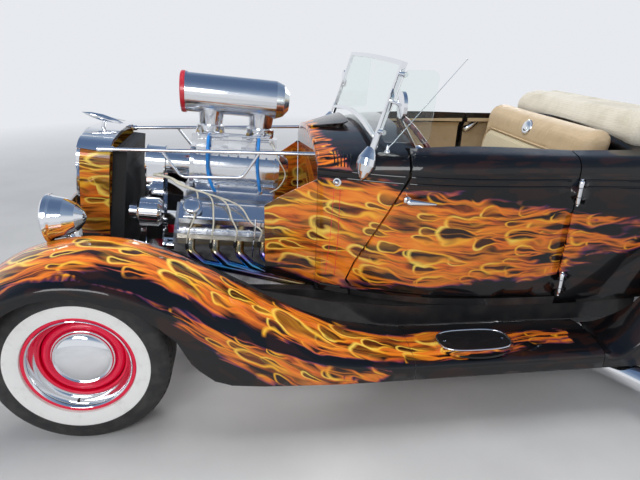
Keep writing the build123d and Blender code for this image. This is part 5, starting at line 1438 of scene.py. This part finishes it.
def fluted_glass(name, centre, radius):
    """Shallow glass dome, its flutes pressed into the inner face."""
    shape = bmesh.new()
    bmesh.ops.create_grid(shape, x_segments=60, y_segments=24, size=1)
    for vertex in shape.verts:
        reach = max(abs(vertex.co.x), abs(vertex.co.y))
        turn = atan2(vertex.co.y, vertex.co.x)
        y, z = radius * reach * cos(turn), radius * reach * sin(turn)
        dome = 0.012 * (1 - reach ** 2)
        flute = FLUTE * cos(2 * pi * y / FLUTE_SPACING) if reach < 0.97 else 0
        vertex.co = centre + Vector((-dome - flute, y, z))
    bmesh.ops.recalc_face_normals(shape, faces=shape.faces)
    dish = finished(name, shape, CLEAR_GLASS, sharp_angle=60)
    dish.modifiers.new("glass", "SOLIDIFY").thickness = 0.003
    place_on(dish, "chassis", "glass")


for side, word in SIDES:
    middle = Vector((lamp_low.x + 0.012, side * (lamp_high.y - LAMP_R), (lamp_low.z + lamp_high.z) / 2))
    fluted_glass("lamp_glass_" + word, middle, LAMP_R - 0.009)
    turned("lamp_bezel_" + word, [(moved(LAMP_BEZEL, 0, LAMP_R), middle, (-1, 0, 0))], segments=64)
    tail = Vector((tail_high.x - 0.012, side * (tail_high.y - 0.036), (tail_low.z + tail_high.z) / 2))
    turned("tail_bezel_" + word, [(TAIL_BEZEL, tail, (1, 0, 0))], segments=48)
print("lamps dressed")

# %% Dials on the dash
DIAL_FACE = plain_gloss("dial_face", (0.60, 0.54, 0.40), 0.4)
DIAL_X, DIAL_Z = -0.1803, 1.022
# Columns: place across the car, radius
DIALS = [(0.0, 0.044), (0.110, 0.030), (-0.110, 0.030), (0.190, 0.030)]
DIAL_BEZEL = [(0, -0.005), (0.004, -0.004), (0.006, -0.001), (0.005, 0.002), (0.0, 0.0025), (-0.004, 0.0015),
              (-0.004, -0.005), (0, -0.005)]
bezels, faces, marks = [], [], bmesh.new()


def hand(made, place, ahead, turn, reach):
    """Lay a mark or needle on a dial, turned about the dial's middle and moved out."""
    lay = (Matrix.Translation(place + Vector((ahead, 0, 0))) @ Matrix.Rotation(turn, 4, "X")
           @ Matrix.Translation((0, 0, reach)))
    bmesh.ops.transform(marks, matrix=lay, verts=made["verts"])


for y, radius in DIALS:
    place = Vector((DIAL_X, y, DIAL_Z))
    bezels.append((moved(DIAL_BEZEL, 0, radius), place, (1, 0, 0)))
    faces.append(([(0, 0), (0.0012, 0), (0.0012, radius - 0.004), (0, radius - 0.004)], place, (1, 0, 0)))
    for number in range(21):
        long = number % 5 == 0
        size = (0.0006, 0.0016 if long else 0.0009, radius * (0.20 if long else 0.11))
        made = bmesh.ops.create_cube(marks, size=1, matrix=Matrix.Diagonal((*size, 1)))
        hand(made, place, 0.0016, radians(135 - 13.5 * number), radius * 0.80 - size[2] / 2)
    needle = bmesh.ops.create_cone(marks, cap_ends=True, segments=6, radius1=0.0016, radius2=0.0004,
                                   depth=radius * 0.72)
    hand(needle, place, 0.0026, radians(48), radius * 0.22)
turned("dial_bezels", bezels, segments=40)
turned("dial_faces", faces, DIAL_FACE, "core_black", 40)
place_on(finished("dial_marks", marks, RUBBER_BLACK), "chassis", "core_black")
print(len(DIALS), "dials")

# %% Pedals, gear lever, seat button and side grips
GAITER = [(-0.004, 0), (-0.004, 0.052), (0.006, 0.050), (0.014, 0.040), (0.024, 0.036), (0.030, 0.028),
          (0.040, 0.024), (0.046, 0.016), (0.056, 0.010), (0.058, 0)]
BUTTON = [(-0.003, 0), (-0.003, 0.037), (0.003, 0.0375), (0.0065, 0.034), (0.0055, 0.030), (0.0085, 0.022),
          (0.0105, 0.011), (0.011, 0)]
GRIP = [(0, 0), (0.004, 0.012), (0.014, 0.020), (0.040, 0.024), (0.080, 0.022), (0.115, 0.014),
        (0.132, 0.006), (0.136, 0)]
BALL_R, LEVER_FOOT, LEVER_WAY = 0.024, Vector((-0.080, 0.0, 0.612)), (0.14, 0, 1)
# Columns: place across the car, height, length of the pad
PEDALS = ((-0.335, 0.625, 0.058), (-0.255, 0.620, 0.058), (-0.185, 0.575, 0.13))
pads, stalks = bmesh.new(), []
for y, height, length in PEDALS:
    lay = (Matrix.Translation((-0.330, y, height)) @ Matrix.Rotation(radians(-35), 4, "Y")
           @ Matrix.Diagonal((0.010, 0.052, length, 1)))
    bmesh.ops.create_cube(pads, size=1, matrix=lay)
    stalks.append((knob(0.16, 0.006), (-0.335, y, height), (-0.86, 0, 0.16)))
bmesh.ops.bevel(pads, geom=pads.edges[:], offset=0.004, segments=3, profile=0.5, affect="EDGES", material=-1)
place_on(finished("pedal_pads", pads, RUBBER_BLACK, sharp_angle=50), "chassis", "core_black")
turned("pedal_stalks", stalks, segments=12)
turned("gear_gaiter", [(GAITER, LEVER_FOOT, (0, 0, 1))], HIDE, "leather", 40)
turned("gear_lever", [(knob(0.24, 0.0055), LEVER_FOOT + Vector((0, 0, 0.04)), LEVER_WAY)], segments=16)
ball = [(BALL_R - BALL_R * cos(pi * step / 14), BALL_R * sin(pi * step / 14)) for step in range(15)]
turned("gear_knob", [(ball, LEVER_FOOT + Vector((0.032, 0, 0.262)), LEVER_WAY)], BAKELITE, "wheel_rim", 32)
place, normal = surface_of("seat_back_pad").ray_cast(Vector((-0.4, 0.0, 1.122)), Vector((1, 0, 0)))[:2]
turned("seat_button", [(BUTTON, place, normal)], segments=40)
for side, word in SIDES:
    way = Vector((0, side, 0))
    at_wall = surface_of("quarter_card_" + word).ray_cast(Vector((0.655, 0, 1.02)), way)[0]
    at_wall = at_wall or surface_of("rear_body_painted").ray_cast(Vector((0.62, 0, 1.02)), way)[0]
    start = at_wall - Vector((0.13, side * 0.012, 0.02))
    turned("side_grip_" + word, [(GRIP, start, (1, 0, 0.75))], segments=32)
print("controls placed")

# %% [markdown]
# ## Floor, lights and background
# Black lacquer and chrome show little but what they mirror, so the light is made of large soft shapes:
# a wide lamp overhead, one on the camera's side and a low fill. The floor and the background are pale
# by their own colour. Mirrors see the background too, so the chrome stays bright.

# %% Floor
HORIZON = (0.80, 0.82, 0.86)
# Metres from the middle where the floor starts to fade, and over which it does
PLAIN_FLOOR, FLOOR_FADE = 3.2, 5.0


def pale_floor():
    """Matt grey-white near the car, fading into the background's colour far off."""
    surface = Surface("pale_floor", (0.70, 0.70, 0.69), 0.75)
    tone = noise(surface.place(), 2.2, 5)
    surface.feed(Base_Color=ramp(tone, [(0.3, (0.66, 0.66, 0.65)), (0.7, (0.73, 0.73, 0.72))]))
    x, y = split(surface.place())[:2]
    reach = maths("SQRT", maths("POWER", x, 2.0) + maths("POWER", y, 2.0))
    far = ((reach - PLAIN_FLOOR) / FLOOR_FADE).clamped()
    glow = output(new_node(surface.tree, "Emission", {"Color": HORIZON}))
    mix = output(new_node(surface.tree, "MixShader", {0: far, 1: output(surface.shader), 2: glow}))
    feed(surface.tree.nodes["Material Output"].inputs["Surface"], mix)
    return surface.material


ground = bmesh.new()
bmesh.ops.create_grid(ground, x_segments=1, y_segments=1, size=14)
floor = finished("floor_stage", ground, pale_floor(), smooth=False)
floor.location.z = -0.001
floor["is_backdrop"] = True
print("floor", floor.dimensions.x, "m wide")

# %% Lamps and world


def soft_lamp(name, place, aim, size, watts):
    data = bpy.data.lights.new(name, "AREA")
    data.shape = "RECTANGLE"
    data.size, data.size_y = size
    data.energy = watts
    lamp = bpy.data.objects.new(name, data)
    bpy.context.collection.objects.link(lamp)
    lamp.location = place
    lamp.rotation_euler = (Vector(aim) - Vector(place)).to_track_quat("-Z", "Y").to_euler()
    return lamp


overhead = soft_lamp("overhead", (-0.8, 0.2, 4.4), (0, 0, 0.6), (4.0, 1.6), 120)
overhead.visible_glossy = False
soft_lamp("camera_side", (-2.5, -5.0, 3.4), (0, 0, 0.6), (3.0, 1.6), 110)
soft_lamp("far_side", (3.0, 4.0, 2.8), (0, 0, 0.7), (2.5, 1.2), 50)

world = bpy.data.worlds.new("studio")
bpy.context.scene.world = world
world.use_nodes = True
sky = world.node_tree
sky.nodes.clear()
rays = new_node(sky, "LightPath")
seen = maths("MAXIMUM", output(rays, "Is Camera Ray"), output(rays, "Is Glossy Ray"))
seen = maths("MAXIMUM", seen, output(rays, "Is Transmission Ray"))
height = split(output(new_node(sky, "TexCoord"), "Generated"))[2]
dome = ramp(height, [(0.0, HORIZON), (0.22, HORIZON), (0.5, (0.27, 0.36, 0.50)), (1.0, (0.11, 0.17, 0.30))])
backdrop = new_node(sky, "Background", {"Color": blend(seen, (0.8, 0.85, 0.95), dome),
                                        "Strength": seen * 0.6 + 0.4})
new_node(sky, "OutputWorld", {0: output(backdrop)})
print("lamps and world set")

# %% [markdown]
# ## Size of the finished model
# The box round every piece that renders, the floor left out, is printed. The finished model must
# stay within the solids' box.

# %% Print the size
low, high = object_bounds()
print("visual", [round(value, 3) for value in (*low, *high)])
